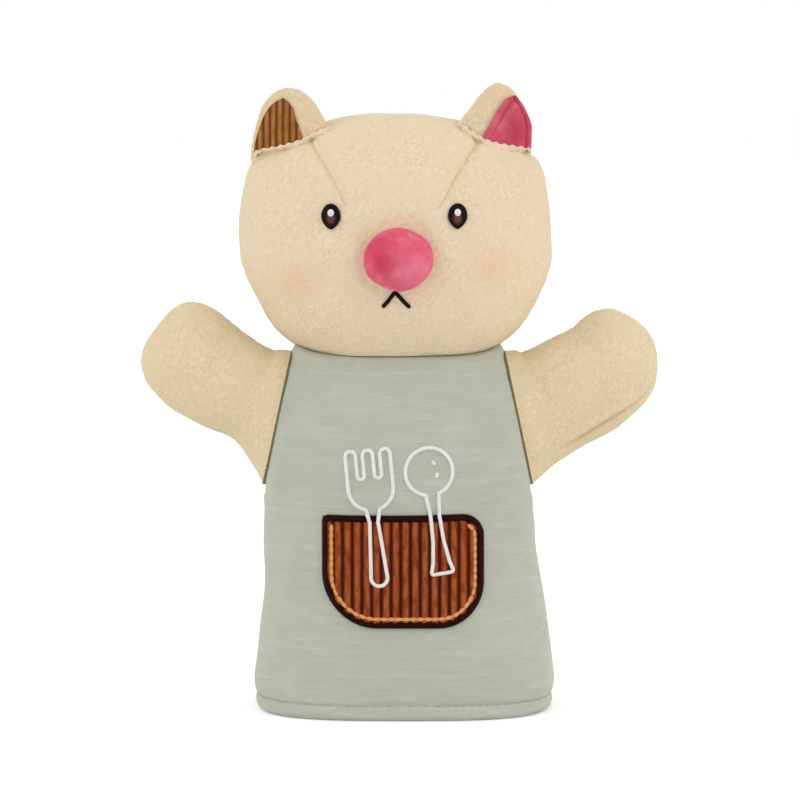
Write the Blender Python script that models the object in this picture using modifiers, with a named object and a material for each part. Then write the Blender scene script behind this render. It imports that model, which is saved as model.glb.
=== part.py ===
"""Plush hand puppet: a stuffed animal head on a jersey smock with two terry sleeve arms."""
import math

import bmesh
import bpy
from mathutils import Matrix, Vector

# Cloth and clearances, in metres
SEAT_GAP = 0.0003
SMOCK_CLOTH = 0.0020
TERRY_CLOTH = 0.0020
LINING_CLOTH = 0.0012
THREAD_RISE = 0.0009

# Smock
BODY_LENGTH = 0.1410
HEM_HALF_WIDTH = 0.0580
FLARE_HALF_WIDTH = 0.0596
WAIST_HALF_WIDTH = 0.0531
NECK_HALF_WIDTH = 0.0427
HEM_HALF_DEPTH = 0.0360
WAIST_HALF_DEPTH = 0.0290
NECK_HALF_DEPTH = 0.0195
ARMHOLE_HALF_DEPTH = 0.0140
NECK_SLEEVE_LENGTH = 0.0110
HEM_FACING_DEPTH = 0.0120
HEM_FACING_CLOTH = 0.0015

# Head
HEAD_HALF_WIDTH = 0.0620
HEAD_HALF_DEPTH = 0.0420
HEAD_CROWN = 0.0455
HEAD_JOWL = 0.0505
HEAD_ABOVE_NECK = 0.0455
HEAD_PLAN_POWER = 2.3
HEAD_SIDE_POWER = 2.8
FINGER_RADIUS = 0.0125
FINGER_DEPTH = 0.0550

# Face
EYE_SPACING = 0.0486
EYE_ABOVE_CENTRE = 0.0051
EYE_WIDTH = 0.0073
EYE_HEIGHT = 0.0099
NOSE_BELOW_CENTRE = 0.0115
NOSE_HALF_WIDTH = 0.0133
NOSE_HALF_HEIGHT = 0.0119
NOSE_HALF_DEPTH = 0.0110
NOSE_PROJECTION = 0.0130
MOUTH_BELOW_NOSE = 0.0004
MOUTH_REACH = 0.0056
MOUTH_STROKE = 0.0017

# Ears
EAR_ANGLE = 39.0
EAR_SLOPE = 20.5
EAR_WIDTH = 0.0320
EAR_HEIGHT = 0.0215
EAR_ROOT = 0.0070
EAR_CLOTH = 0.0036
EAR_LINING = 0.0018
EAR_CUP = 0.0060

# Arms
ARM_LENGTH = 0.0606
ARM_ANGLE = 35.0
PAW_HALF_WIDTH = 0.0210
PAW_HALF_DEPTH = 0.0155
SLEEVE_ROOT_LENGTH = 0.0175
SLEEVE_TAPER_LENGTH = 0.0220

# Pocket and embroidery
POCKET_WIDTH = 0.0624
POCKET_HEIGHT = 0.0430
POCKET_X = 0.0020
POCKET_Z = 0.0580
POCKET_CLOTH = 0.0010
EDGING_WIDTH = 0.0026
TOPSTITCH_INSET = 0.0062
TOPSTITCH_WIDTH = 0.0010
FORK_X = -0.0094
SPOON_X = 0.0144
CUTLERY_Z = 0.0525
CUTLERY_LENGTH = 0.0520
CUTLERY_LEAN = 5.5
CUTLERY_THREAD = 0.0012

# Facet counts
BODY_FACETS = 36
HEAD_FACETS = 32
HEAD_RINGS = 16
ARM_FACETS = 20

# Heights and places that follow from the sizes above
FLARE_Z = 0.09 * BODY_LENGTH
WAIST_Z = 0.56 * BODY_LENGTH
RAGLAN_FOOT_Z = 0.624 * BODY_LENGTH
RAGLAN_TOP_Z = 0.982 * BODY_LENGTH
RAGLAN_FOOT_X = WAIST_HALF_WIDTH + 0.0004
RIM_Z = BODY_LENGTH - NECK_SLEEVE_LENGTH
HEAD_Z = BODY_LENGTH + HEAD_ABOVE_NECK
RAGLAN_MID_Z = (RAGLAN_FOOT_Z + RAGLAN_TOP_Z) / 2
RAGLAN_MID_X = (RAGLAN_FOOT_X + NECK_HALF_WIDTH) / 2
RAGLAN_HALF = math.hypot(RAGLAN_FOOT_X - NECK_HALF_WIDTH, RAGLAN_TOP_Z - RAGLAN_FOOT_Z) / 2
RAGLAN_TILT = math.atan2(RAGLAN_FOOT_X - NECK_HALF_WIDTH, RAGLAN_TOP_Z - RAGLAN_FOOT_Z)
PATCH_TOP = SEAT_GAP + POCKET_CLOTH
EDGING_TOP = PATCH_TOP + SEAT_GAP
EMBROIDERY_TOP = EDGING_TOP + SEAT_GAP + 0.6 * THREAD_RISE
FAR = 2.0 * (BODY_LENGTH + HEAD_ABOVE_NECK)


def clear_scene():
    """Remove whatever the file opened with."""
    for thing in list(bpy.data.objects):
        bpy.data.objects.remove(thing, do_unlink=True)


def new_collection(name):
    """Add a collection to the scene."""
    group = bpy.data.collections.new(name)
    bpy.context.scene.collection.children.link(group)
    return group


def cloth_material(name, colour, roughness):
    """Make a plain cloth material."""
    material = bpy.data.materials.new(name)
    material.use_nodes = True
    shader = material.node_tree.nodes["Principled BSDF"]
    shader.inputs["Base Color"].default_value = (*colour, 1.0)
    shader.inputs["Roughness"].default_value = roughness
    shader.inputs["Metallic"].default_value = 0.0
    return material


def add_object(name, bm, group, material=None, smooth=True):
    """Turn a bmesh into an object with outward normals."""
    bmesh.ops.recalc_face_normals(bm, faces=bm.faces)
    mesh = bpy.data.meshes.new(name)
    bm.to_mesh(mesh)
    bm.free()
    for polygon in mesh.polygons:
        polygon.use_smooth = smooth
    thing = bpy.data.objects.new(name, mesh)
    group.objects.link(thing)
    if material:
        mesh.materials.append(material)
    return thing


def add_cutter(name, bm):
    """Turn a bmesh into a hidden cutter."""
    thing = add_object(name, bm, CUTTERS)
    thing.hide_render = True
    thing.display_type = 'WIRE'
    return thing


def cut(thing, cutter, operation='DIFFERENCE'):
    """Cut an object with a cutter."""
    step = thing.modifiers.new(operation.lower() + "_" + cutter.name, 'BOOLEAN')
    step.operation = operation
    step.solver = 'EXACT'
    step.object = cutter


def loft(rings, start_pole=None, end_pole=None):
    """Join rings of equal count into a closed skin, capped flat or to a pole."""
    bm = bmesh.new()
    loops = []
    for ring in rings:
        loops.append([bm.verts.new(point) for point in ring])
    count = len(loops[0])
    for lower, upper in zip(loops, loops[1:]):
        for i in range(count):
            j = (i + 1) % count
            bm.faces.new((lower[i], lower[j], upper[j], upper[i]))
    bmesh.ops.triangulate(bm, faces=bm.faces, quad_method='FIXED')
    for loop, pole in ((loops[0], start_pole), (loops[-1], end_pole)):
        if pole is None:
            bm.faces.new(loop)
            continue
        tip = bm.verts.new(pole)
        for i in range(count):
            bm.faces.new((loop[i], loop[(i + 1) % count], tip))
    return bm


def oval(centre, across, along, half_across, half_along, count):
    """Points of an ellipse spanned by two unit directions."""
    points = []
    for i in range(count):
        angle = 2 * math.pi * i / count
        point = centre + across * (half_across * math.cos(angle))
        points.append(point + along * (half_along * math.sin(angle)))
    return points


def box(low, high):
    """A box between two corners."""
    bm = bmesh.new()
    bmesh.ops.create_cube(bm, size=1.0)
    for vert in bm.verts:
        for axis in range(3):
            middle = (low[axis] + high[axis]) / 2
            vert.co[axis] = middle + vert.co[axis] * (high[axis] - low[axis])
    return bm


def raglan_x(z):
    """Half-width of the slanted shoulder seam at a height."""
    share = (z - RAGLAN_FOOT_Z) / (RAGLAN_TOP_Z - RAGLAN_FOOT_Z)
    return RAGLAN_FOOT_X + (NECK_HALF_WIDTH - RAGLAN_FOOT_X) * share


def body_depth(z):
    """Half-depth of the smock at a height."""
    if z < WAIST_Z:
        return HEM_HALF_DEPTH + (WAIST_HALF_DEPTH - HEM_HALF_DEPTH) * z / WAIST_Z
    share = min(1.0, (z - WAIST_Z) / (BODY_LENGTH - WAIST_Z))
    return WAIST_HALF_DEPTH + (NECK_HALF_DEPTH - WAIST_HALF_DEPTH) * share ** 1.8


def body_width(z):
    """Half-width of the smock at a height, swelling at the armholes."""
    if z < FLARE_Z:
        share = (FLARE_Z - z) / FLARE_Z
        return FLARE_HALF_WIDTH + (HEM_HALF_WIDTH - FLARE_HALF_WIDTH) * share ** 2
    if z < WAIST_Z:
        share = (WAIST_Z - z) / (WAIST_Z - FLARE_Z)
        return WAIST_HALF_WIDTH + (FLARE_HALF_WIDTH - WAIST_HALF_WIDTH) * share ** 1.4
    if z < RAGLAN_FOOT_Z:
        share = (z - WAIST_Z) / (RAGLAN_FOOT_Z - WAIST_Z)
        return WAIST_HALF_WIDTH + (RAGLAN_FOOT_X - WAIST_HALF_WIDTH) * share
    if z < RAGLAN_TOP_Z:
        along = (z - RAGLAN_MID_Z) / (RAGLAN_TOP_Z - RAGLAN_MID_Z)
        reach = (ARMHOLE_HALF_DEPTH / body_depth(z)) ** 2 * (1 - along ** 2)
        return raglan_x(z) / math.sqrt(1 - reach)
    return NECK_HALF_WIDTH


def body_form(heights, grow):
    """The smock's outer form between heights, grown or shrunk."""
    rings = []
    for z in heights:
        centre = Vector((0, 0, z))
        wide = body_width(z) + grow
        deep = body_depth(z) + grow
        rings.append(oval(centre, Vector((1, 0, 0)), Vector((0, 1, 0)), wide, deep, BODY_FACETS))
    return loft(rings)


def body_heights(low, high):
    """Ring heights of the smock, evenly stepped within each stretch."""
    marks = [0.0, FLARE_Z / 2, FLARE_Z, (2 * FLARE_Z + WAIST_Z) / 3, (FLARE_Z + 2 * WAIST_Z) / 3]
    marks += [WAIST_Z, (WAIST_Z + 3 * RAGLAN_FOOT_Z) / 4]
    marks += [RAGLAN_FOOT_Z + (RAGLAN_TOP_Z - RAGLAN_FOOT_Z) * (k + 0.4) / 6 for k in range(6)]
    least = 0.0008
    inside = [z for z in marks if low + least < z < high - least]
    return [low] + inside + [high]


def head_scale(direction, grow):
    """Distance from the head's centre to its surface along a direction."""
    high = HEAD_CROWN if direction.z > 0 else HEAD_JOWL
    plan = (abs(direction.x) / (HEAD_HALF_WIDTH + grow)) ** HEAD_PLAN_POWER
    plan += (abs(direction.y) / (HEAD_HALF_DEPTH + grow)) ** HEAD_PLAN_POWER
    total = plan ** (HEAD_SIDE_POWER / HEAD_PLAN_POWER)
    total += (abs(direction.z) / (high + grow)) ** HEAD_SIDE_POWER
    return total ** (-1 / HEAD_SIDE_POWER)


def face_depth(x, above):
    """How far the face stands in front of the head's centre."""
    high = HEAD_CROWN if above > 0 else HEAD_JOWL
    plan = (1 - (abs(above) / high) ** HEAD_SIDE_POWER) ** (HEAD_PLAN_POWER / HEAD_SIDE_POWER)
    left = plan - (abs(x) / HEAD_HALF_WIDTH) ** HEAD_PLAN_POWER
    return HEAD_HALF_DEPTH * left ** (1 / HEAD_PLAN_POWER)


NOSE_FRONT = face_depth(0, -NOSE_BELOW_CENTRE) + NOSE_PROJECTION
HEAD_SETBACK = (NOSE_FRONT - HEAD_HALF_DEPTH) / 2
HEAD_CENTRE = Vector((0, HEAD_SETBACK, HEAD_Z))


def head_form(grow):
    """The head's soft outer form, grown or shrunk."""
    bm = bmesh.new()
    bmesh.ops.create_uvsphere(bm, u_segments=HEAD_FACETS, v_segments=HEAD_RINGS, radius=1.0)
    for vert in bm.verts:
        direction = vert.co.normalized()
        vert.co = HEAD_CENTRE + direction * head_scale(direction, grow)
    bmesh.ops.triangulate(bm, faces=bm.faces, quad_method='FIXED')
    return bm


def neck_share(grow):
    """Size of the neck opening as a share of the head's plan."""
    drop = HEAD_ABOVE_NECK / (HEAD_JOWL + grow)
    return (1 - drop ** HEAD_SIDE_POWER) ** (1 / HEAD_SIDE_POWER)


def prism(outline):
    """A block with an outline seen from the front, reaching far forward."""
    bm = bmesh.new()
    face = bm.faces.new([bm.verts.new((x, 0, z)) for x, z in outline])
    block = bmesh.ops.extrude_face_region(bm, geom=[face])
    moved = [part for part in block["geom"] if isinstance(part, bmesh.types.BMVert)]
    bmesh.ops.translate(bm, verts=moved, vec=(0, -FAR, 0))
    return bm


def band(points, width, closed):
    """A block whose front outline is a stroke of even width along points."""
    count = len(points)
    sides = ([], [])
    for i, (x, z) in enumerate(points):
        before = points[(i - 1) % count] if closed or i else points[i]
        after = points[(i + 1) % count] if closed or i + 1 < count else points[i]
        run = Vector((after[0] - before[0], after[1] - before[1])).normalized()
        for side, reach in zip(sides, (width / 2, -width / 2)):
            side.append((x - run.y * reach, z + run.x * reach))
    bm = bmesh.new()
    left = [bm.verts.new((x, 0, z)) for x, z in sides[0]]
    right = [bm.verts.new((x, 0, z)) for x, z in sides[1]]
    faces = []
    for i in range(count if closed else count - 1):
        j = (i + 1) % count
        faces.append(bm.faces.new((left[i], left[j], right[j], right[i])))
    block = bmesh.ops.extrude_face_region(bm, geom=faces)
    moved = [part for part in block["geom"] if isinstance(part, bmesh.types.BMVert)]
    bmesh.ops.translate(bm, verts=moved, vec=(0, -FAR, 0))
    return bm


def arc(x, z, radius, start, stop, steps):
    """Points along an arc, angles in degrees."""
    points = []
    for k in range(steps + 1):
        angle = math.radians(start + (stop - start) * k / steps)
        points.append((x + radius * math.cos(angle), z + radius * math.sin(angle)))
    return points


def pocket_outline(grow):
    """The pocket's outline: straight top, one square and one round top corner, deep round foot."""
    wide = POCKET_WIDTH / 2 + grow
    tall = POCKET_HEIGHT / 2 + grow
    corners = []
    for share in (0.40, 0.19, 0.04, 0.48):
        corners.append(max(share * POCKET_HEIGHT + grow, 0.0006))
    right_foot, right_top, left_top, left_foot = corners
    points = arc(wide - right_foot, right_foot - tall, right_foot, -90, 0, 7)
    points += arc(wide - right_top, tall - right_top, right_top, 0, 90, 5)
    points += arc(left_top - wide, tall - left_top, left_top, 90, 180, 3)
    points += arc(left_foot - wide, left_foot - tall, left_foot, 180, 270, 8)
    return [(POCKET_X + x, POCKET_Z + z) for x, z in points]


def pocket_stitch_path():
    """The topstitch runs down one side, round the foot and up the other side."""
    outline = pocket_outline(-TOPSTITCH_INSET)
    top = POCKET_Z + POCKET_HEIGHT / 2 - 1.6 * TOPSTITCH_INSET
    right = [point for point in outline[:8]]
    left = [point for point in outline[18:]]
    path = [(left[0][0], top)] + left + right + [(right[-1][0], top)]
    clean = [path[0]]
    for point in path[1:]:
        if math.dist(point, clean[-1]) > 0.4 * TOPSTITCH_WIDTH:
            clean.append(point)
    return clean


def leaned(points, x):
    """Stand an outline on the pocket with the cutlery's lean."""
    turn = math.radians(CUTLERY_LEAN)
    out = []
    for px, pz in points:
        along = pz - CUTLERY_LENGTH / 2
        shift = px * math.cos(turn) - along * math.sin(turn)
        rise = px * math.sin(turn) + along * math.cos(turn)
        out.append((x + shift, CUTLERY_Z + CUTLERY_LENGTH / 2 + rise))
    return out


def fork_outline():
    """A plain three-tined fork, standing on its handle."""
    unit = CUTLERY_LENGTH / 52
    head = 9.5 * unit
    slot = 2.8 * unit
    tine = (2 * head - 2 * slot) / 3
    tip = CUTLERY_LENGTH - tine / 2
    base = 34.5 * unit
    root = 41.5 * unit
    points = arc(0, 3.0 * unit, 3.0 * unit, 180, 360, 6)
    points.append((1.7 * unit, 20.0 * unit))
    points += arc(0, base, head, -78, 0, 6)
    for k in (1, 0, -1):
        centre = k * (tine + slot)
        points += arc(centre, tip, tine / 2, 0, 180, 5)
        if k > -1:
            points += arc(centre - (tine + slot) / 2, root, slot / 2, 0, -180, 4)
    points += arc(0, base, head, 180, 258, 6)
    points.append((-1.7 * unit, 20.0 * unit))
    return leaned(points, FORK_X)


def spoon_outline():
    """A plain round spoon, standing on its handle."""
    unit = CUTLERY_LENGTH / 52
    points = arc(0, 5.4 * unit, 3.6 * unit, 180, 360, 6)
    points.append((1.7 * unit, 22.0 * unit))
    points += arc(0, 42.5 * unit, 9.5 * unit, -78, 258, 24)
    points.append((-1.7 * unit, 22.0 * unit))
    return leaned(points, SPOON_X)


def arm_axis(side):
    """Where an arm starts and which way it points."""
    angle = math.radians(ARM_ANGLE)
    start = Vector((side * RAGLAN_MID_X, 0, RAGLAN_MID_Z))
    return start, Vector((side * math.cos(angle), 0, math.sin(angle)))


def arm_ring(side, reach, grow):
    """One section of a sleeve, square to the shoulder seam first and to the arm later."""
    start, axis = arm_axis(side)
    share = min(1.0, max(0.0, reach / SLEEVE_TAPER_LENGTH))
    turn = share * share * (3 - 2 * share)
    tilt = RAGLAN_TILT + (math.radians(ARM_ANGLE) - RAGLAN_TILT) * turn
    wide = PAW_HALF_WIDTH + (RAGLAN_HALF - PAW_HALF_WIDTH) * (1 - share) ** 2 + grow
    deep = ARMHOLE_HALF_DEPTH + (PAW_HALF_DEPTH - ARMHOLE_HALF_DEPTH) * share + grow
    past = reach - (ARM_LENGTH - PAW_HALF_WIDTH)
    if past > 0:
        round_off = math.sqrt(max(0.0, 1 - (past / (PAW_HALF_WIDTH + grow)) ** 2))
        wide *= round_off
        deep *= round_off
    up = Vector((-side * math.sin(tilt), 0, math.cos(tilt)))
    return oval(start + axis * reach, up, Vector((0, 1, 0)), wide, deep, ARM_FACETS)


def arm_form(side, low, grow):
    """A sleeve from a section to its rounded paw."""
    start, axis = arm_axis(side)
    turn = ARM_LENGTH - PAW_HALF_WIDTH
    reaches = [low, SLEEVE_TAPER_LENGTH, (SLEEVE_TAPER_LENGTH + turn) / 2, turn]
    for angle in (25, 48, 68, 82):
        reaches.append(turn + (PAW_HALF_WIDTH + grow) * math.sin(math.radians(angle)))
    rings = [arm_ring(side, reach, grow) for reach in reaches]
    return loft(rings, end_pole=start + axis * (ARM_LENGTH + grow))


def sleeve_root_form(side, low, high, grow):
    """The strip of sleeve that bends at the shoulder seam."""
    steps = [low + (high - low) * k / 3 for k in range(4)]
    return loft([arm_ring(side, reach, grow) for reach in steps])


def raglan_block(side):
    """Everything outside the slanted shoulder seam."""
    bm = box((0, -FAR, -FAR), (FAR, FAR, FAR))
    place = Matrix.Translation((side * RAGLAN_MID_X, 0, RAGLAN_MID_Z))
    turn = math.pi if side < 0 else 0.0
    spin = Matrix.Rotation(turn, 4, 'Z')
    lean = Matrix.Rotation(-RAGLAN_TILT, 4, 'Y')
    bmesh.ops.transform(bm, matrix=place @ spin @ lean, verts=bm.verts)
    return bm


def ear_sheet(side, low, high, foot, crown, forward, columns, rows):
    """A cupped ear leaf between shares of its width and height."""
    angle = math.radians(EAR_ANGLE)
    out = Vector((side * math.cos(angle), 0, math.sin(angle)))
    seat = HEAD_CENTRE + out * head_scale(out, 0)
    slope = math.radians(EAR_SLOPE)
    bm = bmesh.new()
    bmesh.ops.create_grid(bm, x_segments=columns, y_segments=rows, size=1.0)
    for vert in bm.verts:
        share = low + (high - low) * (vert.co.x + 1) / 2
        rise = foot + (crown - foot) * (vert.co.y + 1) / 2
        half = EAR_WIDTH / 2 * (1 - rise ** 2.6) ** 0.55
        across = share * half
        level = -EAR_ROOT + rise * (EAR_HEIGHT + EAR_ROOT)
        droop = across * math.sin(slope) * (1 - rise)
        cup = EAR_CUP * (share ** 2) * (1 - 0.4 * rise)
        vert.co.x = seat.x + side * across
        vert.co.y = seat.y - cup - forward
        vert.co.z = seat.z + level - droop
    return bm


def pivot(name, point, parent=None):
    """An empty on a joint axis."""
    empty = bpy.data.objects.new(name, None)
    empty.empty_display_size = 0.01
    PARTS.objects.link(empty)
    empty.location = point
    if parent:
        empty.parent = parent
        empty.location = point - PIVOT_POINTS[parent.name]
    PIVOT_POINTS[name] = point
    return empty


def hang(thing, empty):
    """Parent a piece to its joint without moving it."""
    thing.parent = empty
    thing.matrix_parent_inverse = Matrix.Translation(-PIVOT_POINTS[empty.name])


clear_scene()
PARTS = new_collection("hand_puppet")
CUTTERS = new_collection("hand_puppet_cutters")
PIVOT_POINTS = {}

JERSEY = cloth_material("grey_green_jersey", (0.46, 0.47, 0.38), 0.95)
TERRY = cloth_material("beige_terry", (0.79, 0.64, 0.45), 0.95)
CORDUROY = cloth_material("brown_corduroy", (0.22, 0.05, 0.02), 0.9)
VELOUR = cloth_material("pink_velour", (0.66, 0.13, 0.18), 0.85)
DARK_THREAD = cloth_material("dark_brown_thread", (0.05, 0.02, 0.01), 0.6)
TAN_THREAD = cloth_material("tan_thread", (0.48, 0.21, 0.06), 0.6)
WHITE_THREAD = cloth_material("white_thread", (0.85, 0.85, 0.82), 0.6)
FILL = cloth_material("fibre_fill", (0.9, 0.9, 0.88), 1.0)
LINING = cloth_material("cotton_lining", (0.7, 0.66, 0.58), 0.95)

# Shared cutters
FRONT_HALF = add_cutter("front_half", box((-FAR, -FAR, -FAR), (FAR, -SEAT_GAP / 2, FAR)))
BACK_HALF = add_cutter("back_half", box((-FAR, SEAT_GAP / 2, -FAR), (FAR, FAR, FAR)))
RAGLANS = {}
for hand, side in (("left", -1), ("right", 1)):
    RAGLANS[side] = add_cutter(hand + "_raglan", raglan_block(side))

# Smock panels and hem facing
SMOCK_BORE = add_cutter("smock_bore", body_form(
    [-0.004] + body_heights(0.0, RIM_Z) + [RIM_Z + 0.004], -SMOCK_CLOTH))
for name, half in (("body_front", FRONT_HALF), ("body_back", BACK_HALF)):
    panel = add_object(name, body_form(body_heights(0.0, RIM_Z), 0.0), PARTS, JERSEY)
    cut(panel, SMOCK_BORE)
    for side in RAGLANS:
        cut(panel, RAGLANS[side])
    cut(panel, half, 'INTERSECT')
facing_rings = [0.0, FLARE_Z / 2, FLARE_Z]
facing_rings = [z for z in facing_rings if z < HEM_FACING_DEPTH - 0.0008] + [HEM_FACING_DEPTH]
facing = add_object("hem_facing", body_form(facing_rings, -SMOCK_CLOTH - SEAT_GAP), PARTS, JERSEY)
FACING_BORE = add_cutter("facing_bore", body_form(
    [-0.004] + facing_rings + [HEM_FACING_DEPTH + 0.004],
    -SMOCK_CLOTH - SEAT_GAP - HEM_FACING_CLOTH))
cut(facing, FACING_BORE)

# Pocket, its edging and topstitch, and the cutlery embroidery
BIB_HEIGHTS = body_heights(0.0, BODY_LENGTH)
BIB_SEAT = add_cutter("bib_seat", body_form(BIB_HEIGHTS, SEAT_GAP))
BIB_PATCH = add_cutter("bib_patch", body_form(BIB_HEIGHTS, PATCH_TOP))
BIB_EDGING = add_cutter("bib_edging", body_form(BIB_HEIGHTS, EDGING_TOP))
BIB_STITCH_SEAT = add_cutter("bib_stitch_seat", body_form(BIB_HEIGHTS, PATCH_TOP + SEAT_GAP))
BIB_STITCH = add_cutter("bib_stitch", body_form(BIB_HEIGHTS, PATCH_TOP + 2.4 * SEAT_GAP))
BIB_THREAD = add_cutter("bib_thread", body_form(BIB_HEIGHTS, EMBROIDERY_TOP))
POCKET_CLEAR = add_cutter("pocket_clear", prism(pocket_outline(SEAT_GAP)))
BIB_CLEAR = add_cutter("bib_clear", body_form(BIB_HEIGHTS, EDGING_TOP + SEAT_GAP))
cut(POCKET_CLEAR, BIB_CLEAR, 'INTERSECT')

patch_edge = pocket_outline(-EDGING_WIDTH - SEAT_GAP)
patch = add_object("pocket_patch", prism(patch_edge), PARTS, CORDUROY)
cut(patch, BIB_PATCH, 'INTERSECT')
cut(patch, BIB_SEAT)
PATCH_HOLE = add_cutter("patch_hole", prism(pocket_outline(-EDGING_WIDTH)))
edging = add_object("pocket_edging", prism(pocket_outline(0.0)), PARTS, DARK_THREAD)
cut(edging, BIB_EDGING, 'INTERSECT')
cut(edging, BIB_SEAT)
cut(edging, PATCH_HOLE)
stitch = add_object("pocket_topstitch", band(pocket_stitch_path(), TOPSTITCH_WIDTH, False),
                    PARTS, TAN_THREAD)
cut(stitch, BIB_STITCH, 'INTERSECT')
cut(stitch, BIB_STITCH_SEAT)
for name, outline in (("fork_embroidery", fork_outline()), ("spoon_embroidery", spoon_outline())):
    figure = add_object(name, band(outline, CUTLERY_THREAD, True), PARTS, WHITE_THREAD)
    cut(figure, BIB_THREAD, 'INTERSECT')
    cut(figure, BIB_SEAT)
    cut(figure, POCKET_CLEAR)

# Joint empties
NECK_POINT = Vector((0, 0, (RIM_Z + BODY_LENGTH) / 2))
NECK = pivot("neck_pivot", NECK_POINT)
HEAD = pivot("head_pivot", NECK_POINT, NECK)

# Neck sleeve
low = RIM_Z + SEAT_GAP
high = BODY_LENGTH - SEAT_GAP
neck = add_object("neck_sleeve", body_form(body_heights(low, high), 0.0), PARTS, JERSEY)
NECK_BORE = add_cutter("neck_bore", body_form(
    [low - 0.004] + body_heights(low, high) + [high + 0.004], -SMOCK_CLOTH))
cut(neck, NECK_BORE)
for side in RAGLANS:
    cut(neck, RAGLANS[side])
hang(neck, NECK)

# Head skin: face and back panels over the fill
HEAD_BORE = add_cutter("head_bore", head_form(-TERRY_CLOTH))
BELOW_NECK = add_cutter("below_neck", box((-FAR, -FAR, -FAR), (FAR, FAR, BODY_LENGTH)))
HEAD_SEAT = add_cutter("head_seat", head_form(SEAT_GAP))
FACE_HALF = add_cutter("face_half", box((-FAR, -FAR, -FAR), (FAR, HEAD_SETBACK - SEAT_GAP / 2, FAR)))
NAPE_HALF = add_cutter("nape_half", box((-FAR, HEAD_SETBACK + SEAT_GAP / 2, -FAR), (FAR, FAR, FAR)))
for name, half in (("face_panel", FACE_HALF), ("head_back", NAPE_HALF)):
    panel = add_object(name, head_form(0.0), PARTS, TERRY)
    cut(panel, HEAD_BORE)
    cut(panel, BELOW_NECK)
    cut(panel, half, 'INTERSECT')
    hang(panel, HEAD)


def pocket_rings(grow, below):
    """Sections of the finger pocket from its neck flange to its dome."""
    inset = -TERRY_CLOTH - LINING_CLOTH - SEAT_GAP
    share = neck_share(inset)
    mouth_x = (HEAD_HALF_WIDTH + inset) * share
    mouth_y = (HEAD_HALF_DEPTH + inset) * share
    tube = FINGER_RADIUS
    sections = [(0.0, mouth_x, mouth_y), (0.11 * FINGER_DEPTH, 0.64 * mouth_x, 0.72 * mouth_y)]
    sections += [(0.26 * FINGER_DEPTH, 1.10 * tube, 1.10 * tube), (0.80 * FINGER_DEPTH, tube, tube)]
    sections += [(0.91 * FINGER_DEPTH, 0.80 * tube, 0.80 * tube)]
    sections += [(0.98 * FINGER_DEPTH, 0.38 * tube, 0.38 * tube)]
    if below:
        sections.insert(0, (-below, mouth_x, mouth_y))
    rings = []
    for rise, wide, deep in sections:
        lift = grow if rise > 0.85 * FINGER_DEPTH else 0.0
        centre = Vector((0, HEAD_SETBACK, BODY_LENGTH + rise + lift))
        rings.append(oval(centre, Vector((1, 0, 0)), Vector((0, 1, 0)), wide + grow, deep + grow, 20))
    return rings, Vector((0, HEAD_SETBACK, BODY_LENGTH + FINGER_DEPTH + grow))


outer_rings, outer_tip = pocket_rings(LINING_CLOTH, 0.0)
inner_rings, inner_tip = pocket_rings(0.0, 0.004)
clear_rings, clear_tip = pocket_rings(LINING_CLOTH + SEAT_GAP, 0.004)
finger = add_object("finger_pocket", loft(outer_rings, end_pole=outer_tip), PARTS, LINING)
FINGER_BORE = add_cutter("finger_bore", loft(inner_rings, end_pole=inner_tip))
cut(finger, FINGER_BORE)
hang(finger, HEAD)
FINGER_CLEAR = add_cutter("finger_clear", loft(clear_rings, end_pole=clear_tip))
stuffing = add_object("head_stuffing", head_form(-TERRY_CLOTH - SEAT_GAP), PARTS, FILL)
cut(stuffing, FINGER_CLEAR)
cut(stuffing, BELOW_NECK)
hang(stuffing, HEAD)

# Nose: velour cover over its own fill
NOSE_CENTRE = Vector((0, HEAD_SETBACK - NOSE_FRONT + NOSE_HALF_DEPTH, HEAD_Z - NOSE_BELOW_CENTRE))


def nose_form(grow):
    """The nose's ellipsoid, grown or shrunk."""
    bm = bmesh.new()
    bmesh.ops.create_uvsphere(bm, u_segments=16, v_segments=10, radius=1.0)
    for vert in bm.verts:
        vert.co.x = NOSE_CENTRE.x + vert.co.x * (NOSE_HALF_WIDTH + grow)
        vert.co.y = NOSE_CENTRE.y + vert.co.y * (NOSE_HALF_DEPTH + grow)
        vert.co.z = NOSE_CENTRE.z + vert.co.z * (NOSE_HALF_HEIGHT + grow)
    return bm


NOSE_BORE = add_cutter("nose_bore", nose_form(-LINING_CLOTH))
cover = add_object("nose_cover", nose_form(0.0), PARTS, VELOUR)
cut(cover, NOSE_BORE)
cut(cover, HEAD_SEAT)
hang(cover, HEAD)
nose_fill = add_object("nose_stuffing", nose_form(-LINING_CLOTH - SEAT_GAP), PARTS, FILL)
cut(nose_fill, HEAD_SEAT)
hang(nose_fill, HEAD)

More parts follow.
